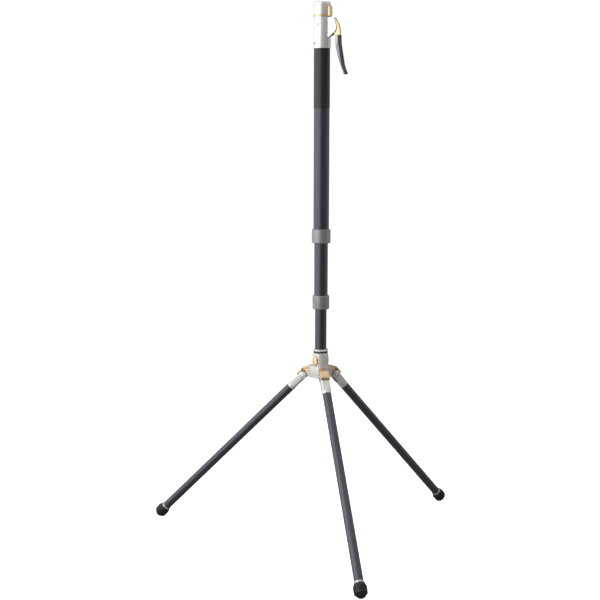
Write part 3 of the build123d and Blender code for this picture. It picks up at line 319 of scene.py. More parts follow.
@dataclass(frozen=True)
class Carbon:
    """Twill-woven carbon tube under a satin clear coat.

    Attributes:
        name: Name of the material.
        axle: The tube's axis.
        radius: The tube's radius.
        tow: Width of one carbon tow.
        dark: Colour of the tows that run round the tube.
        light: Colour of the tows that run along it, painted lighter as the sheen of their
            lengthwise fibres; the weave is real, its contrast is painted sheen.
        fibre: Size of the fibres across a tow.
        patch: Size of the slow changes of shade.
        streak: Width of the streaks that run along the tube.
        crown: Height of a tow's crown.
        gleam: Tint of the reflections.
        coat: Weight, index and roughness of the clear coat.
    """

    name: str
    axle: Axle
    radius: float
    tow: float = 2.2 * MM
    dark: Color = (0.003, 0.0035, 0.005)
    light: Color = (0.018, 0.020, 0.027)
    fibre: float = 0.5 * MM
    patch: float = 30 * MM
    streak: float = 2.2 * MM
    crown: float = 0.10 * MM
    gleam: Color = (0.80, 0.88, 1.0)
    coat: tuple[float, float, float] = (0.35, 1.6, 0.26)

    def weave(self, shader: Shader, coords: Socket) -> list[Socket]:
        """Lays the twill.

        Args:
            shader: The material's nodes.
            coords: Coordinates with +Z along the tube.

        Returns:
            Where a tow that runs along the tube lies on top, and the height of the tows.
        """
        split = shader.add("ShaderNodeSeparateXYZ")
        shader.join(coords, split.inputs[0])
        x, y, z = split.outputs
        columns = 4 * round(2 * pi * self.radius / self.tow / 4)
        around = shader.calc("MULTIPLY", shader.calc("ARCTAN2", y, x), columns / (2 * pi))
        along = shader.calc("MULTIPLY", z, 1 / self.tow)
        twill = shader.calc("SUBTRACT", shader.calc("FLOOR", around), shader.calc("FLOOR", along))
        over = shader.calc("LESS_THAN", shader.calc("FLOORED_MODULO", twill, 4.0), 1.5)
        across = shader.calc("PINGPONG", around, 0.5)
        down = shader.calc("PINGPONG", along, 0.5)
        under = shader.calc("SUBTRACT", 1.0, over)
        height = shader.calc("ADD", shader.calc("MULTIPLY", over, across),
                             shader.calc("MULTIPLY", under, down))
        return [over, height]

    def build(self) -> bpy.types.Material:
        """Returns the material."""
        shader = Shader(self.name)
        coords = shader.place(self.axle)
        over, height = self.weave(shader, coords)
        fibres = shader.noise(coords, self.fibre, 2.0, (1.0, 1.0, 0.08))
        patches = shader.noise(coords, self.patch, 3.0, (1.0, 1.0, 0.3))
        streaks = shader.noise(coords, self.streak, 2.0, (1.0, 1.0, 0.02))
        # the tows that run along the tube are painted lighter, as painted sheen of their fibres
        shade = shader.calc("MULTIPLY", over, shader.spread(fibres, 0.55, 1.0))
        shade = shader.calc("ADD", shade, shader.spread(patches, -0.12, 0.12))
        shade = shader.calc("ADD", shade, shader.spread(streaks, -0.35, 0.55, 0.38, 0.62))
        shader.join(shader.mix(shade, self.dark, self.light), shader.surface.inputs["Base Color"])
        shader.join(shader.spread(fibres, 0.34, 0.50), shader.surface.inputs["Roughness"])
        shader.surface.inputs["Specular IOR Level"].default_value = 0.7
        shader.surface.inputs["Specular Tint"].default_value = (*self.gleam, 1)
        for label, value in zip(("Coat Weight", "Coat IOR", "Coat Roughness"), self.coat):
            shader.surface.inputs[label].default_value = value
        shader.bump(height, self.crown)
        return shader.material


@dataclass(frozen=True)
class Moulded:
    """Rubber, foam or moulded plastic.

    Attributes:
        name: Name of the material.
        color: Main colour.
        tint: Colour of the patches.
        rough: Lowest and highest roughness.
        grain: Size of the surface texture.
        depth: Depth of the texture.
        sheen: Soft sheen, as on rubber.
        gloss: Specular level.
        patch: Size of the patches.
    """

    name: str
    color: Color
    tint: Color
    rough: tuple[float, float] = (0.5, 0.62)
    grain: float = 0.8 * MM
    depth: float = 0.04 * MM
    sheen: float = 0.0
    gloss: float = 0.5
    patch: float = 18 * MM

    def build(self) -> bpy.types.Material:
        """Returns the material."""
        shader = Shader(self.name)
        coords = shader.place()
        patches = shader.noise(coords, self.patch, 4.0)
        cells = shader.add("ShaderNodeTexVoronoi", feature="SMOOTH_F1")
        cells.inputs["Scale"].default_value = 1 / self.grain
        shader.join(coords, cells.inputs["Vector"])
        shader.join(shader.mix(shader.spread(patches, 0, 1), self.color, self.tint),
                    shader.surface.inputs["Base Color"])
        shader.join(shader.spread(patches, *self.rough), shader.surface.inputs["Roughness"])
        shader.surface.inputs["Sheen Weight"].default_value = self.sheen
        shader.surface.inputs["Specular IOR Level"].default_value = self.gloss
        shader.bump(cells.outputs["Distance"], self.depth)
        return shader.material


Finish = Metal | Moulded | Carbon


@dataclass
class Finishes:
    """The finishes that pieces share, and the materials made of them so far."""

    silver: Metal = Metal("cast_silver", (0.76, 0.755, 0.725), (0.70, 0.69, 0.655), (0.30, 0.42),
                          metallic=0.6)
    lined: Metal = Metal("lined_silver", (0.66, 0.655, 0.62), (0.60, 0.59, 0.555), (0.32, 0.44),
                         metallic=0.4, lines=2.4 * MM)
    satin: Metal = Metal("satin_silver", (0.64, 0.635, 0.60), (0.58, 0.57, 0.535), (0.32, 0.44),
                         metallic=0.4)
    champagne: Metal = Metal("champagne_anodised", (0.74, 0.53, 0.32), (0.66, 0.46, 0.27),
                             (0.28, 0.40))
    graphite: Metal = Metal("graphite_paint", (0.27, 0.28, 0.29), (0.22, 0.23, 0.24), (0.32, 0.44),
                            metallic=0.5)
    # rim: on the collars its lighter rings paint the highlight of their rounded ends; on the feet
    # it is the ring's own metal
    rim: Metal = Metal("rim_metal_and_painted_highlight", (0.50, 0.51, 0.52), (0.44, 0.45, 0.46), (0.28, 0.38),
                       metallic=0.7)
    dark_metal: Metal = Metal("dark_anodised", (0.05, 0.05, 0.055), (0.035, 0.035, 0.04),
                              (0.35, 0.5), metallic=0.5)
    steel: Metal = Metal("turned_steel", (0.62, 0.62, 0.63), (0.52, 0.52, 0.54), (0.20, 0.34),
                         grain=0.4 * MM, turned=True)
    bronze: Metal = Metal("bearing_bronze", (0.60, 0.42, 0.20), (0.48, 0.32, 0.15))
    spring: Metal = Metal("spring_wire", (0.42, 0.42, 0.44), (0.33, 0.33, 0.35), (0.22, 0.34))
    grip: Moulded = Moulded("grip_foam", (0.007, 0.010, 0.013), (0.005, 0.007, 0.009),
                            (0.40, 0.50), grain=0.7 * MM, depth=0.03 * MM, sheen=0.04)
    pad: Moulded = Moulded("soft_rubber", (0.030, 0.030, 0.034), (0.022, 0.022, 0.026),
                           sheen=0.1)
    foot: Moulded = Moulded("foot_rubber", (0.007, 0.009, 0.014), (0.004, 0.005, 0.008),
                            (0.42, 0.58), grain=1.2 * MM, gloss=0.4)
    handle: Moulded = Moulded("grey_nylon", (0.31, 0.33, 0.37), (0.26, 0.28, 0.32), (0.38, 0.5),
                              grain=0.5 * MM, depth=0.02 * MM)
    cream: Moulded = Moulded("cream_nylon", (0.72, 0.66, 0.55), (0.66, 0.60, 0.49), (0.38, 0.5))
    bush: Moulded = Moulded("bush_nylon", (0.75, 0.73, 0.67), (0.68, 0.66, 0.60), (0.4, 0.5))
    made: dict[str, bpy.types.Material] = field(default_factory=dict)

    def get(self, finish: Finish) -> bpy.types.Material:
        """Returns the material of a finish, built once."""
        if finish.name not in self.made:
            self.made[finish.name] = finish.build()
        return self.made[finish.name]


finishes = Finishes()


# ------------------------------------------------------------------ making meshes
@dataclass(frozen=True)
class Ring:
    """One ring of a turned piece.

    Attributes:
        radius: Radius, or half the width across flats of a hexagon.
        height: Distance along the axle.
        hexagonal: Whether the ring is a hexagon.
    """

    radius: float
    height: float
    hexagonal: bool = False

    def point(self, angle: float) -> Vector:
        """Returns the ring's point at an angle."""
        size = self.radius
        if self.hexagonal:
            size /= cos((angle + pi / 6) % (pi / 3) - pi / 6)
        return Vector((size * cos(angle), size * sin(angle), self.height))


def bead(rings: list[tuple[float, float]], rounding: float, steps: int = 4) -> list[Ring]:
    """Rounds the corners of a profile.

    Args:
        rings: Radius and height of each corner.
        rounding: Largest distance from a corner to where its rounding starts.
        steps: Pieces in each rounding.

    Returns:
        The rings of the rounded profile.
    """
    corners = [Vector(corner) for corner in rings]
    result = [Ring(*corners[0])]
    for before, corner, after in zip(corners, corners[1:], corners[2:]):
        back, ahead = before - corner, after - corner
        cut = min(rounding, back.length * MOST_CUT, ahead.length * MOST_CUT)
        start, end = corner + back.normalized() * cut, corner + ahead.normalized() * cut
        for step in range(steps + 1):
            t = step / steps
            spot = start * (1 - t) ** 2 + corner * 2 * t * (1 - t) + end * t ** 2
            result.append(Ring(*spot))
    result.append(Ring(*corners[-1]))
    return result


def link(piece: bpy.types.Object) -> bpy.types.Object:
    """Puts an object in the scene, and returns it."""
    bpy.context.scene.collection.objects.link(piece)
    return piece


def poured(name: str, form: bmesh.types.BMesh) -> bpy.types.Mesh:
    """Returns the mesh of a working form, and frees the form."""
    mesh = bpy.data.meshes.new(name)
    form.to_mesh(mesh)
    form.free()
    return mesh


def finish_mesh(name: str, mesh: bpy.types.Mesh, finish: Finish,
                sharp: float = 38) -> bpy.types.Object:
    """Makes an object of a mesh, smooth except at sharp edges.

    Args:
        name: Name of the piece.
        mesh: Its mesh.
        finish: Its finish.
        sharp: Angle in degrees past which an edge stays sharp.

    Returns:
        The object, linked to the scene.
    """
    mesh.name = name
    mesh.materials.clear()
    mesh.materials.append(finishes.get(finish))
    mesh.polygons.foreach_set("use_smooth", [True] * len(mesh.polygons))
    mesh.set_sharp_from_angle(angle=radians(sharp))
    return link(bpy.data.objects.new(name, mesh))


def turned(name: str, rings: list[Ring], axle: Axle, finish: Finish,
           closed: bool = False, segments: int = 96) -> bpy.types.Object:
    """Makes a turned piece.

    Args:
        name: Name of the piece.
        rings: Its profile; a ring of radius 0 closes an end.
        axle: The line that it is turned about.
        finish: Its finish.
        closed: Whether the last ring joins the first, as round a bore.
        segments: Sides round the piece; a multiple of 12 keeps hexagons sharp.

    Returns:
        The object.
    """
    form = bmesh.new()
    loops = []
    for ring in rings:
        if ring.radius == 0:
            loops.append([form.verts.new((0, 0, ring.height))] * segments)
        else:
            loops.append([form.verts.new(ring.point(2 * pi * k / segments))
                          for k in range(segments)])
    pairs = list(zip(loops, loops[1:])) + ([(loops[-1], loops[0])] if closed else [])
    for lower, upper in pairs:
        for k in range(segments):
            corners = [lower[k], lower[(k + 1) % segments], upper[(k + 1) % segments], upper[k]]
            corners = list(dict.fromkeys(corners))
            if len(corners) > 2:
                form.faces.new(corners)
    bmesh.ops.recalc_face_normals(form, faces=form.faces)
    form.transform(axle.matrix())
    return finish_mesh(name, poured(name, form), finish)


def baked(piece: bpy.types.Object) -> bpy.types.Mesh:
    """Returns the plain mesh of a piece with its modifiers applied, and deletes the piece."""
    bpy.context.view_layer.update()
    graph = bpy.context.evaluated_depsgraph_get()
    mesh = bpy.data.meshes.new_from_object(piece.evaluated_get(graph))
    bpy.data.objects.remove(piece)
    return mesh


def rounded_copy(node: str, finish: Finish, width: float, steps: int = 3,
                 angle: float = 32) -> bpy.types.Object:
    """Makes a copy of a CAD node with its edges rounded.

    Args:
        node: The CAD node that the copy stands for.
        finish: The finish of the copy.
        width: Width of the rounding.
        steps: Segments across the rounding.
        angle: Angle in degrees past which an edge is rounded.

    Returns:
        The object, which replaces the node.
    """
    form = bmesh.new()
    form.from_mesh(frame["nodes"][node].data)
    bmesh.ops.remove_doubles(form, verts=form.verts, dist=WELD)
    bmesh.ops.dissolve_limit(form, angle_limit=NEARLY_FLAT, verts=form.verts, edges=form.edges)
    bmesh.ops.recalc_face_normals(form, faces=form.faces)
    rough = link(bpy.data.objects.new(f"{node}_form", poured(f"{node}_form", form)))
    bevel = rough.modifiers.new("edges", "BEVEL")
    bevel.width = width
    bevel.segments = steps
    bevel.limit_method = "ANGLE"
    bevel.angle_limit = radians(angle)
    bevel.miter_outer = "MITER_ARC"
    piece = finish_mesh(f"{node}_shaped", baked(rough), finish)
    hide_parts(node)
    return piece


@dataclass(frozen=True)
class Sheet:
    """Upright plane that flat outlines in millimetres are drawn on.

    Attributes:
        origin: Where its zero lies.
        across: Direction of the first coordinate.
        rise: Direction of the second coordinate.
    """

    origin: Vector
    across: Vector
    rise: Vector

    def point(self, x: float, y: float, depth: float) -> Vector:
        """Returns the place of a point on the sheet, moved square to it."""
        return self.origin + (self.across * x + self.rise * y
                              + self.across.cross(self.rise) * depth) * MM

    def slabs(self, name: str, corners: Outline, depths: Spans, edge: float,
              finish: Finish) -> bpy.types.Object:
        """Makes one outline into slabs with rounded edges.

        Args:
            name: Name of the piece.
            corners: Corners of the outline.
            depths: Where each slab starts and ends, square to the sheet.
            edge: Width of the rounding, in millimetres.
            finish: The finish.

        Returns:
            The object.
        """
        form = bmesh.new()
        count = len(corners)
        for span in depths:
            near, far = ([form.verts.new(self.point(x, y, depth)) for x, y in corners]
                         for depth in span)
            form.faces.new(near)
            form.faces.new(far)
            for k in range(count):
                n = (k + 1) % count
                form.faces.new((near[k], near[n], far[n], far[k]))
        bmesh.ops.recalc_face_normals(form, faces=form.faces)
        bmesh.ops.bevel(form, geom=form.edges[:], offset=edge * MM, segments=3, affect="EDGES")
        return finish_mesh(name, poured(name, form), finish)


# ------------------------------------------------------------------ what repeats
class Pattern:
    """Geometry-node tree that repeats a ridge round or along +Z.

    Args:
        tread: Whether the ridges are rings round the axle or flutes along it.
        finish: The finish that the tree sets.
    """

    SECTION_SIDES = 10
    HOOP_SIDES = 96

    def __init__(self, tread: Tread, finish: Finish) -> None:
        self.finish = finish
        self.tree = bpy.data.node_groups.new(f"{tread.value}_{finish.name}", "GeometryNodeTree")
        self.sockets: dict[str, str] = {}
        for way in ("INPUT", "OUTPUT"):
            self.tree.interface.new_socket("Geometry", in_out=way,
                                           socket_type="NodeSocketGeometry")
        for label, kind in (("Count", "NodeSocketInt"), ("Pitch", "NodeSocketFloat"),
                            ("Radius", "NodeSocketFloat"), ("Ridge", "NodeSocketFloat"),
                            ("Length", "NodeSocketFloat")):
            socket = self.tree.interface.new_socket(label, in_out="INPUT", socket_type=kind)
            self.sockets[label] = socket.identifier
        self.inlet = self.tree.nodes.new("NodeGroupInput")
        self.outlet = self.tree.nodes.new("NodeGroupOutput")
        realized = self._rings() if tread is Tread.RINGS else self._flutes()
        coat = self.tree.nodes.new("GeometryNodeSetMaterial")
        coat.inputs["Material"].default_value = finishes.get(finish)
        self.tree.links.new(realized, coat.inputs["Geometry"])
        self.tree.links.new(coat.outputs[0], self.outlet.inputs[0])

    def _swept(self, path: Socket) -> Socket:
        """Returns a mesh with a round section along a curve."""
        section = self.tree.nodes.new("GeometryNodeCurvePrimitiveCircle")
        section.inputs["Resolution"].default_value = self.SECTION_SIDES
        self.tree.links.new(self.inlet.outputs["Ridge"], section.inputs["Radius"])
        sweep = self.tree.nodes.new("GeometryNodeCurveToMesh")
        sweep.inputs["Fill Caps"].default_value = True
        self.tree.links.new(path, sweep.inputs["Curve"])
        self.tree.links.new(section.outputs[0], sweep.inputs["Profile Curve"])
        return sweep.outputs[0]

    def _placed(self, points: Socket, shape: Socket) -> Socket:
        """Returns realized copies of a shape on points."""
        copies = self.tree.nodes.new("GeometryNodeInstanceOnPoints")
        self.tree.links.new(points, copies.inputs["Points"])
        self.tree.links.new(shape, copies.inputs["Instance"])
        realize = self.tree.nodes.new("GeometryNodeRealizeInstances")
        self.tree.links.new(copies.outputs[0], realize.inputs[0])
        return realize.outputs[0]

    def _rings(self) -> Socket:
        """Returns rings stacked along +Z."""
        spacing = self.tree.nodes.new("ShaderNodeCombineXYZ")
        self.tree.links.new(self.inlet.outputs["Pitch"], spacing.inputs["Z"])
        line = self.tree.nodes.new("GeometryNodeMeshLine")
        self.tree.links.new(self.inlet.outputs["Count"], line.inputs["Count"])
        self.tree.links.new(spacing.outputs[0], line.inputs["Offset"])
        hoop = self.tree.nodes.new("GeometryNodeCurvePrimitiveCircle")
        hoop.inputs["Resolution"].default_value = self.HOOP_SIDES
        self.tree.links.new(self.inlet.outputs["Radius"], hoop.inputs["Radius"])
        return self._placed(line.outputs[0], self._swept(hoop.outputs[0]))

    def _flutes(self) -> Socket:
        """Returns straight ridges round +Z."""
        circle = self.tree.nodes.new("GeometryNodeMeshCircle")
        self.tree.links.new(self.inlet.outputs["Count"], circle.inputs["Vertices"])
        self.tree.links.new(self.inlet.outputs["Radius"], circle.inputs["Radius"])
        tip = self.tree.nodes.new("ShaderNodeCombineXYZ")
        self.tree.links.new(self.inlet.outputs["Length"], tip.inputs["Z"])
        stroke = self.tree.nodes.new("GeometryNodeCurvePrimitiveLine")
        self.tree.links.new(tip.outputs[0], stroke.inputs["End"])
        return self._placed(circle.outputs[0], self._swept(stroke.outputs[0]))

    def make(self, name: str, axle: Axle, count: int, radius: float, ridge: float,
             pitch: float = 0.0, length: float = 0.0) -> bpy.types.Object:
        """Makes one set of ridges.

        Args:
            name: Name of the piece.
            axle: The line that they lie round; its origin is at the first one.
            count: How many.
            radius: Distance from the axle.
            ridge: Radius of a ridge's section.
            pitch: Spacing of rings.
            length: Length of flutes.

        Returns:
            The object.
        """
        host = link(bpy.data.objects.new(f"{name}_host", bpy.data.meshes.new(f"{name}_host")))
        nodes = host.modifiers.new("ridges", "NODES")
        nodes.node_group = self.tree
        for label, value in (("Count", count), ("Pitch", pitch), ("Radius", radius),
                             ("Ridge", ridge), ("Length", length)):
            nodes[self.sockets[label]] = value
        mesh = baked(host)
        mesh.transform(axle.matrix())
        return finish_mesh(name, mesh, self.finish)


# ------------------------------------------------------------------ sub-assemblies
def dress(finish: Finish, *nodes: str) -> None:
    """Gives CAD nodes that stay a finish.

    Args:
        finish: The finish.
        *nodes: Names of the nodes.
    """
    for node in nodes:
        piece = frame["nodes"][node]
        for slot in piece.material_slots:
            slot.material = finishes.get(finish)


def settle(piece: bpy.types.Object, body: str, node: str | None = None) -> None:
    """Puts a piece on its body.

    Args:
        piece: The piece.
        body: The CAD body that carries it.
        node: The CAD node that it stands for, where it stands for one.
    """
    if node is not None:
        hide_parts(node)
    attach(piece, body)
    log.info("%s rides on %s", piece.name, body)


@dataclass
class Mast:
    """The three tubes, their collars, the grip and the base flange.

    Attributes:
        axle: The mast's axis.
        rounding: Of a collar's corners.
        lip_gap: Between a collar's lip and the tube that slides through it.
        rim: Radius of the section of the lighter rings at a collar's ends, which paint the
            highlight of its rounded edges.
        rim_inset: From a collar's end to the middle of its rim.
        rib: Radius of a rib's section.
        rib_count: How many ribs the middle collar has.
        rib_margin: From a rounded corner to the nearest rib.
        rib_sink: How deep the middle of a rib lies in the collar.
        groove_drop: From the top of the grip to its groove.
        groove_depth: Depth of the groove.
        groove_half: Half the groove's width, at its floor and at its mouth.
        taper: Depth and height of the taper at the grip's lower end.
    """

    axle: Axle
    rounding: float = 2.4 * MM
    lip_gap: float = 0.3 * MM
    rim: float = 0.75 * MM
    rim_inset: float = 0.5 * MM
    rib: float = 0.45 * MM
    rib_count: int = 9
    rib_margin: float = 2.5 * MM
    rib_sink: float = 0.15 * MM
    groove_drop: float = 4.5 * MM
    groove_depth: float = 0.25 * MM
    groove_half: tuple[float, float] = (0.5 * MM, 0.8 * MM)
    taper: tuple[float, float] = (0.1 * MM, 1.2 * MM)

    def build(self) -> None:
        """Makes and dresses the mast."""
        for name in ("lower", "middle", "upper"):
            tube = f"{name}_tube"
            dress(Carbon(f"carbon_{tube}", self.axle, girth(tube, self.axle)), tube)
        self.collars()
        self.grip()
        self.base()
        dress(finishes.bush, "middle_bush", "upper_bush", "lower_guide", "middle_guide")
        dress(finishes.steel, "lower_cam", "middle_cam", "drive_tube", "control_rod", "head_plug")

    def collars(self) -> None:
        """Makes the two collars with lighter rings at their ends as painted highlights, and the
        ribs of the middle one.
        """
        for name, tube, inside, body in (
                ("middle_collar", "middle_tube", "lower_tube", "mast_middle"),
                ("upper_collar", "upper_tube", "middle_tube", "mast_upper")):
            low, high = reach(name, self.axle)
            outer, bore = girth(name, self.axle), girth(tube, self.axle) + SLEEVE_GAP
            lip = girth(inside, self.axle) + self.lip_gap
            start = reach(tube, self.axle)[0]
            rings = bead([(lip, start), (lip, low), (outer, low), (outer, high), (bore, high),
                          (bore, start), (lip, start)], self.rounding, 6)
            settle(turned(f"{name}_turned", rings, self.axle, finishes.graphite), body,
                   name)
            # the lighter rings at each end are painted highlights on the collar's rounded edges
            painted_highlight_rims = Pattern(Tread.RINGS, finishes.rim).make(
                f"{name}_rims", self.axle.at(low + self.rim_inset), 2, outer - self.rounding,
                self.rim, pitch=high - low - 2 * self.rim_inset)
            settle(painted_highlight_rims, body)
            if name == "middle_collar":
                self.ribs(low, high, outer)

    def ribs(self, low: float, high: float, outer: float) -> None:
        """Makes the ribs round the middle collar.

        Args:
            low: Where the collar starts along the mast.
            high: Where it ends.
            outer: Its radius.
        """
        first = low + self.rounding + self.rib_margin
        pitch = (high - low - 2 * (first - low)) / (self.rib_count - 1)
        ribs = Pattern(Tread.RINGS, finishes.graphite).make(
            "middle_collar_ribs", self.axle.at(first), self.rib_count, outer - self.rib_sink,
            self.rib, pitch=pitch)
        settle(ribs, "mast_middle")

    def grip(self) -> None:
        """Makes the foam grip, tapered at its lower end and grooved near its top."""
        low, high = reach("grip_sleeve", self.axle)
        outer = girth("grip_sleeve", self.axle)
        bore = girth("upper_tube", self.axle) + SLEEVE_GAP
        groove = high - self.groove_drop
        floor, (inner, mouth) = outer - self.groove_depth, self.groove_half
        thinner, rise = self.taper
        rings = bead([(bore, low), (outer - thinner, low), (outer, low + rise),
                      (outer, groove - mouth), (floor, groove - inner), (floor, groove + inner),
                      (outer, groove + mouth), (outer, high), (bore, high), (bore, low)], 0.5 * MM)
        settle(turned("grip_moulded", rings, self.axle, finishes.grip), "mast_upper",
               "grip_sleeve")

    def base(self) -> None:
        """Rounds the flange and the washer at the foot of the mast."""
        settle(rounded_copy("mast_base", finishes.satin, 0.5 * MM), "mast_lower")
        settle(rounded_copy("base_washer", finishes.dark_metal, 0.3 * MM), "mast_lower")


@dataclass
class Head:
    """The cast head, its cap and twist ring, and the spigot socket.

    Attributes:
        axle: The mast's axis.
        knurls: How many ridges the twist ring has.
        ridge: Radius of a ridge's section.
        proud: How far the middle of a ridge stands out from the cap.
        end_gap: From each end of a ridge to the castings.
        register: How far the cap reaches down inside the twist ring.
    """

    axle: Axle
    knurls: int = 60
    ridge: float = 0.28 * MM
    proud: float = 0.5 * MM
    end_gap: float = 0.6 * MM
    register: float = 1.5 * MM

    def build(self) -> None:
        """Makes and dresses the head."""
        settle(rounded_copy("head_body", finishes.silver, 0.7 * MM), "mast_upper")
        settle(rounded_copy("head_cap", finishes.silver, 0.5 * MM), "mast_upper")
        settle(rounded_copy("twist_ring", finishes.champagne, 0.6 * MM), "ring")
        self.knurl()
        dress(finishes.steel, "spigot_socket")
        dress(finishes.dark_metal, "head_screws")
        dress(finishes.bronze, "spigot_shoe")

    def knurl(self) -> None:
        """Makes the fine knurl round the twist ring as ridges."""
        low = reach("head_body", self.axle)[1]
        high = reach("head_cap", self.axle)[0] + self.register
        ridges = Pattern(Tread.FLUTES, finishes.champagne).make(
            "twist_ring_knurl", self.axle.at(low + self.end_gap), self.knurls,
            girth("head_cap", self.axle) + self.proud, self.ridge,
            length=high - low - 2 * self.end_gap)
        settle(ridges, "ring")


@dataclass
class Trigger:
    """The squeeze lever with its handle, pad, pin and plunger.

    Attributes:
        wedge: Corners of the pale inset in millimetres out from and up from the lever pin.
        sunk: How deep the inset lies in the handle, in millimetres.
        proud: How far it stands out, in millimetres.
    """

    wedge: Outline = ((7.9, -36.6), (13.4, -36.6), (12.0, -57.0), (10.3, -57.0))
    sunk: float = 0.3
    proud: float = 0.4

    def build(self) -> None:
        """Makes and dresses the trigger."""
        settle(rounded_copy("lever_arm", finishes.champagne, 0.9 * MM), "trigger")
        settle(rounded_copy("lever_handle", finishes.handle, 0.8 * MM), "trigger")
        settle(rounded_copy("lever_pad", finishes.pad, 0.9 * MM), "trigger")
        settle(rounded_copy("lever_pin", finishes.steel, 0.25 * MM), "trigger")
        dress(finishes.spring, "plunger_spring")
        dress(finishes.dark_metal, "plunger")
        self.inset()

    def inset(self) -> None:
        """Lays the pale wedge into the left side of the handle, below its top."""
        pin = Vector(joint("trigger_squeeze")["pos_m"])
        arm = pin - mast_axle().origin
        out = Vector((arm.x, arm.y, 0)).normalized()
        sheet = Sheet(pin, out, UP)
        side = out.cross(UP)
        faces = [(v.co - pin).dot(side) / MM for v in frame["nodes"]["lever_handle"].data.vertices]
        left, way = (min(faces), -1) if side.x > 0 else (max(faces), 1)
        span = (left - self.sunk * way, left + self.proud * way)
        inset = sheet.slabs("handle_inset", self.wedge, (span,), 0.2, finishes.cream)
        settle(inset, "trigger")


@dataclass
class Hub:
    """The leg block, the mast socket and its two release buttons."""

    def build(self) -> None:
        """Makes and dresses the hub."""
        settle(rounded_copy("leg_block", finishes.satin, 0.9 * MM), "hub")
        settle(rounded_copy("hub_body", finishes.lined, 0.5 * MM), "hub")
        for name in BUTTON_NAMES:
            settle(rounded_copy(f"release_button_{name}", finishes.champagne, 0.6 * MM),
                   f"button_{name}")
            dress(finishes.bronze, f"release_yoke_{name}")
        dress(finishes.dark_metal, "hub_base_cap")
        dress(finishes.steel, "hub_screws")
        dress(finishes.bush, "socket_bushes")
        dress(finishes.spring, "button_springs")


@dataclass
class Leg:
    """One leg: fork, pin, tube, foot and angle stop.

    Attributes:
        name: Which leg.
        hoops: How many raised hoops the foot has.
        hoop: Radius of a hoop's section.
        hoop_pitch: Spacing of the hoops.
        first_hoop: From the foot's upper end to the first hoop.
        web: Corners of a stop's web in millimetres out from and up from the pivot.
        web_sides: Where each web starts and ends across the leg, in millimetres.
        mouth: Corners of the dark slab of painted shade in the slot's mouth, in millimetres down
            the leg and square to it.
        mouth_sides: Where the painted shade starts and ends across the leg, in millimetres.
        head_thick: Thickness of a pin's head.
        recess: Depth of the hexagonal recess in it.
        recess_half: Half the recess's width across flats.
        recess_rim: Radius where the head's face starts.
        shank: Radius of the pin's shank.
    """

    name: str
    hoops: int = 4
    hoop: float = 0.55 * MM
    hoop_pitch: float = 2.9 * MM
    first_hoop: float = 7.5 * MM
    web: Outline = ((-16.6, 20.0), (-16.6, 11.0), (-14.5, 9.6), (-9.9, 10.4), (-7.3, 11.8),
                    (-2.9, 12.9), (-2.0, 16.5), (-6.0, 19.0), (-12.0, 21.0))
    web_sides: Spans = ((4.4, 7.9), (-7.9, -4.4))
    mouth: Outline = ((9.2, -9.5), (20.8, -9.5), (20.8, -6.5), (9.2, -6.5))
    mouth_sides: Spans = ((-4.1, 4.1),)
    head_thick: float = 1.4 * MM
    recess: float = 0.9 * MM
    recess_half: float = 2.0 * MM
    recess_rim: float = 2.4 * MM
    shank: float = 2.5 * MM

    def build(self) -> None:
        """Makes and dresses the leg."""
        body = f"leg_{self.name}"
        axle = leg_axle(self.name)
        tube = f"leg_tube_{self.name}"
        dress(Carbon(f"carbon_{tube}", axle, girth(tube, axle)), tube)
        settle(rounded_copy(f"leg_fork_{self.name}", finishes.satin, 0.7 * MM), body)
        self.pin(body)
        settle(rounded_copy(f"leg_stop_{self.name}", finishes.champagne, 0.8 * MM),
               f"stop_{self.name}")
        settle(rounded_copy(f"foot_ring_{self.name}", finishes.rim, 0.4 * MM), body)
        dress(finishes.foot, f"foot_{self.name}")
        dress(finishes.spring, f"stop_spring_{self.name}")
        self.tread(body, axle)
        self.webs(axle)
        self.slot_shade(body, axle)

    def webs(self, axle: Axle) -> None:
        """Makes the webs under the tail of the angle stop, one on each side of the lug."""
        webs = Sheet(axle.origin, axle.outward(), UP).slabs(
            f"leg_stop_{self.name}_webs", self.web, self.web_sides, 0.5, finishes.champagne)
        settle(webs, f"stop_{self.name}")

    def slot_shade(self, body: str, axle: Axle) -> None:
        """Makes a dark slab in the mouth of the fork's slot, beyond the lug: painted shade where
        the slot lies in shadow.
        """
        side = axle.outward().cross(UP)
        # the dark foot rubber here stands in for the shadow inside the slot
        slot_shade = Sheet(axle.origin, axle.direction, side.cross(axle.direction)).slabs(
            f"leg_fork_{self.name}_liner", self.mouth, self.mouth_sides, 0.4, finishes.foot)
        settle(slot_shade, body)

    def pin(self, body: str) -> None:
        """Turns the pivot pin, with a hexagonal recess in each head."""
        node = f"leg_pin_{self.name}"
        hinge = joint(f"leg_{self.name}_fold")
        line = Axle(Vector(hinge["pos_m"]), Vector(hinge["axis"]).normalized())
        end, head = reach(node, line)[1], girth(node, line)
        under, floor = end - self.head_thick, end - self.recess
        half = [Ring(0, floor), Ring(self.recess_half, floor, True),
                Ring(self.recess_half, end, True),
                *bead([(self.recess_rim, end), (head, end), (head, under), (self.shank, under)],
                      0.5 * MM)]
        rings = half + [Ring(r.radius, -r.height, r.hexagonal) for r in reversed(half)]
        settle(turned(f"{node}_turned", rings, line, finishes.steel), body, node)

    def tread(self, body: str, axle: Axle) -> None:
        """Makes the raised hoops round the foot."""
        foot = f"foot_{self.name}"
        start = axle.at(reach(foot, axle)[0] + self.first_hoop)
        hoops = Pattern(Tread.RINGS, finishes.foot).make(
            f"{foot}_tread", start, self.hoops, girth(foot, axle), self.hoop,
            pitch=self.hoop_pitch)
        settle(hoops, body)


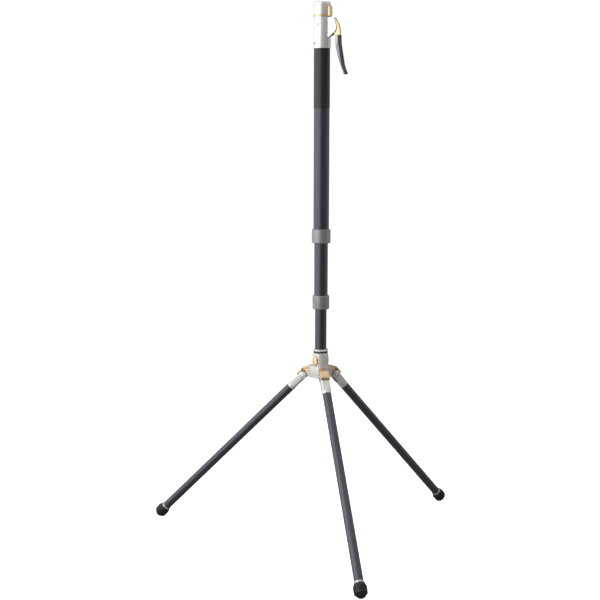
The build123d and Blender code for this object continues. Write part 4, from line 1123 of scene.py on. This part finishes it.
# ------------------------------------------------------------------ studio
@dataclass
class Studio:
    """Floor, lights and camera.

    Attributes:
        axle: The mast's axis, which the camera is set out from.
        distance: From the mast axis to the camera, along the view.
        height: Of the camera.
        aside: Of the camera from the mast axis, to the right.
        turn: Of the view from +Y, clockwise from above.
        pitch: Below the horizontal.
        roll: Of the camera.
        lens: Focal length in millimetres on a 36 mm sensor.
        fill: Strength of the light from all round.
        glow: Light that the floor gives off, so that it stays white.
        backdrop: Strength of the surround where the camera sees it.
        half_floor: Half the floor's width.
    """

    SENSOR = 36

    axle: Axle
    distance: float = 2.8341
    height: float = 0.9486
    aside: float = -0.0487
    turn: float = radians(10.716)
    pitch: float = radians(7.727)
    roll: float = radians(0.125)
    lens: float = 73.58
    fill: float = 0.25
    glow: float = 0.80
    backdrop: float = 1.05
    half_floor: float = 2.5

    def build(self) -> None:
        """Makes the studio."""
        self.camera()
        self.floor()
        self.world()
        self.lights()

    def seen(self, right: float, ahead: float, up: float) -> Vector:
        """Returns the place at distances from the mast's foot, in the camera's directions."""
        return self.axle.origin + Vector((right * cos(self.turn) + ahead * sin(self.turn),
                                          ahead * cos(self.turn) - right * sin(self.turn), up))

    def camera(self) -> None:
        """Places the camera."""
        lens = bpy.data.cameras.new("camera")
        lens.lens = self.lens
        lens.sensor_width = self.SENSOR
        eye = bpy.data.objects.new("camera", lens)
        spin = (Matrix.Rotation(-self.turn, 4, "Z") @ Matrix.Rotation(pi / 2 - self.pitch, 4, "X")
                @ Matrix.Rotation(self.roll, 4, "Z"))
        place = self.seen(self.aside, -self.distance, self.height)
        eye.matrix_world = Matrix.Translation(place) @ spin
        bpy.context.scene.camera = link(eye)
        bpy.context.scene.view_settings.view_transform = "Standard"

    def floor(self) -> None:
        """Lays a plain pale floor."""
        form = bmesh.new()
        bmesh.ops.create_grid(form, x_segments=1, y_segments=1, size=self.half_floor)
        floor = link(bpy.data.objects.new("floor", poured("floor", form)))
        shader = Shader("pale_floor")
        shader.surface.inputs["Base Color"].default_value = (0.92, 0.92, 0.92, 1)
        shader.surface.inputs["Roughness"].default_value = 0.9
        shader.surface.inputs["Specular IOR Level"].default_value = 0.1
        shader.surface.inputs["Emission Color"].default_value = (1, 1, 1, 1)
        shader.surface.inputs["Emission Strength"].default_value = self.glow
        dull = shader.add("ShaderNodeBsdfDiffuse")
        dull.inputs["Color"].default_value = (0.3, 0.3, 0.3, 1)
        path = shader.add("ShaderNodeLightPath")
        choice = shader.add("ShaderNodeMixShader")
        shader.join(path.outputs["Is Camera Ray"], choice.inputs["Fac"])
        shader.join(dull.outputs[0], choice.inputs[1])
        shader.join(shader.surface.outputs[0], choice.inputs[2])
        shader.join(choice.outputs[0], shader.tree.nodes["Material Output"].inputs["Surface"])
        floor.data.materials.append(shader.material)

    def world(self) -> None:
        """Sets a surround that looks white and lights the stand softly."""
        world = bpy.data.worlds.new("surround")
        bpy.context.scene.world = world
        world.use_nodes = True
        tree = world.node_tree
        dim = tree.nodes["Background"]
        dim.inputs["Color"].default_value = (1, 1, 1, 1)
        dim.inputs["Strength"].default_value = self.fill
        white = tree.nodes.new("ShaderNodeBackground")
        white.inputs["Color"].default_value = (1, 1, 1, 1)
        white.inputs["Strength"].default_value = self.backdrop
        path = tree.nodes.new("ShaderNodeLightPath")
        choice = tree.nodes.new("ShaderNodeMixShader")
        tree.links.new(path.outputs["Is Camera Ray"], choice.inputs["Fac"])
        tree.links.new(dim.outputs[0], choice.inputs[1])
        tree.links.new(white.outputs[0], choice.inputs[2])
        tree.links.new(choice.outputs[0], tree.nodes["World Output"].inputs["Surface"])

    def lights(self) -> None:
        """Hangs the soft lights: two panels on the left, a dim one on the right, one overhead."""
        for name, spot, aim, size, power in (
                ("key", (-1.43, -1.0, 1.1), (0.0, 0.0, 0.8), (2.4, 2.8), 42.0),
                ("side", (-1.62, 0.66, 1.1), (0.0, 0.0, 0.8), (2.2, 2.8), 21.0),
                ("fill", (1.72, 0.3, 1.1), (0.0, 0.0, 0.8), (2.2, 2.8), 9.0),
                ("overhead", (0.0, 0.0, 3.4), (0.0, 0.0, 0.0), (5.0, 5.0), 60.0)):
            lamp = bpy.data.lights.new(name, "AREA")
            lamp.shape = "RECTANGLE"
            lamp.size, lamp.size_y = size
            lamp.energy = power
            light = bpy.data.objects.new(name, lamp)
            light.visible_camera = False
            place = self.seen(*spot)
            look = self.seen(*aim) - place
            light.matrix_world = (Matrix.Translation(place)
                                  @ look.to_track_quat("-Z", "Y").to_matrix().to_4x4())
            link(light)


def main() -> None:
    """Builds every sub-assembly in order."""
    logging.basicConfig(level=logging.INFO, format="%(name)s: %(message)s")
    axle = mast_axle()
    Studio(axle).build()
    Mast(axle).build()
    Head(axle).build()
    Trigger().build()
    Hub().build()
    for name in LEG_NAMES:
        Leg(name).build()


if __name__ == "__main__":
    main()
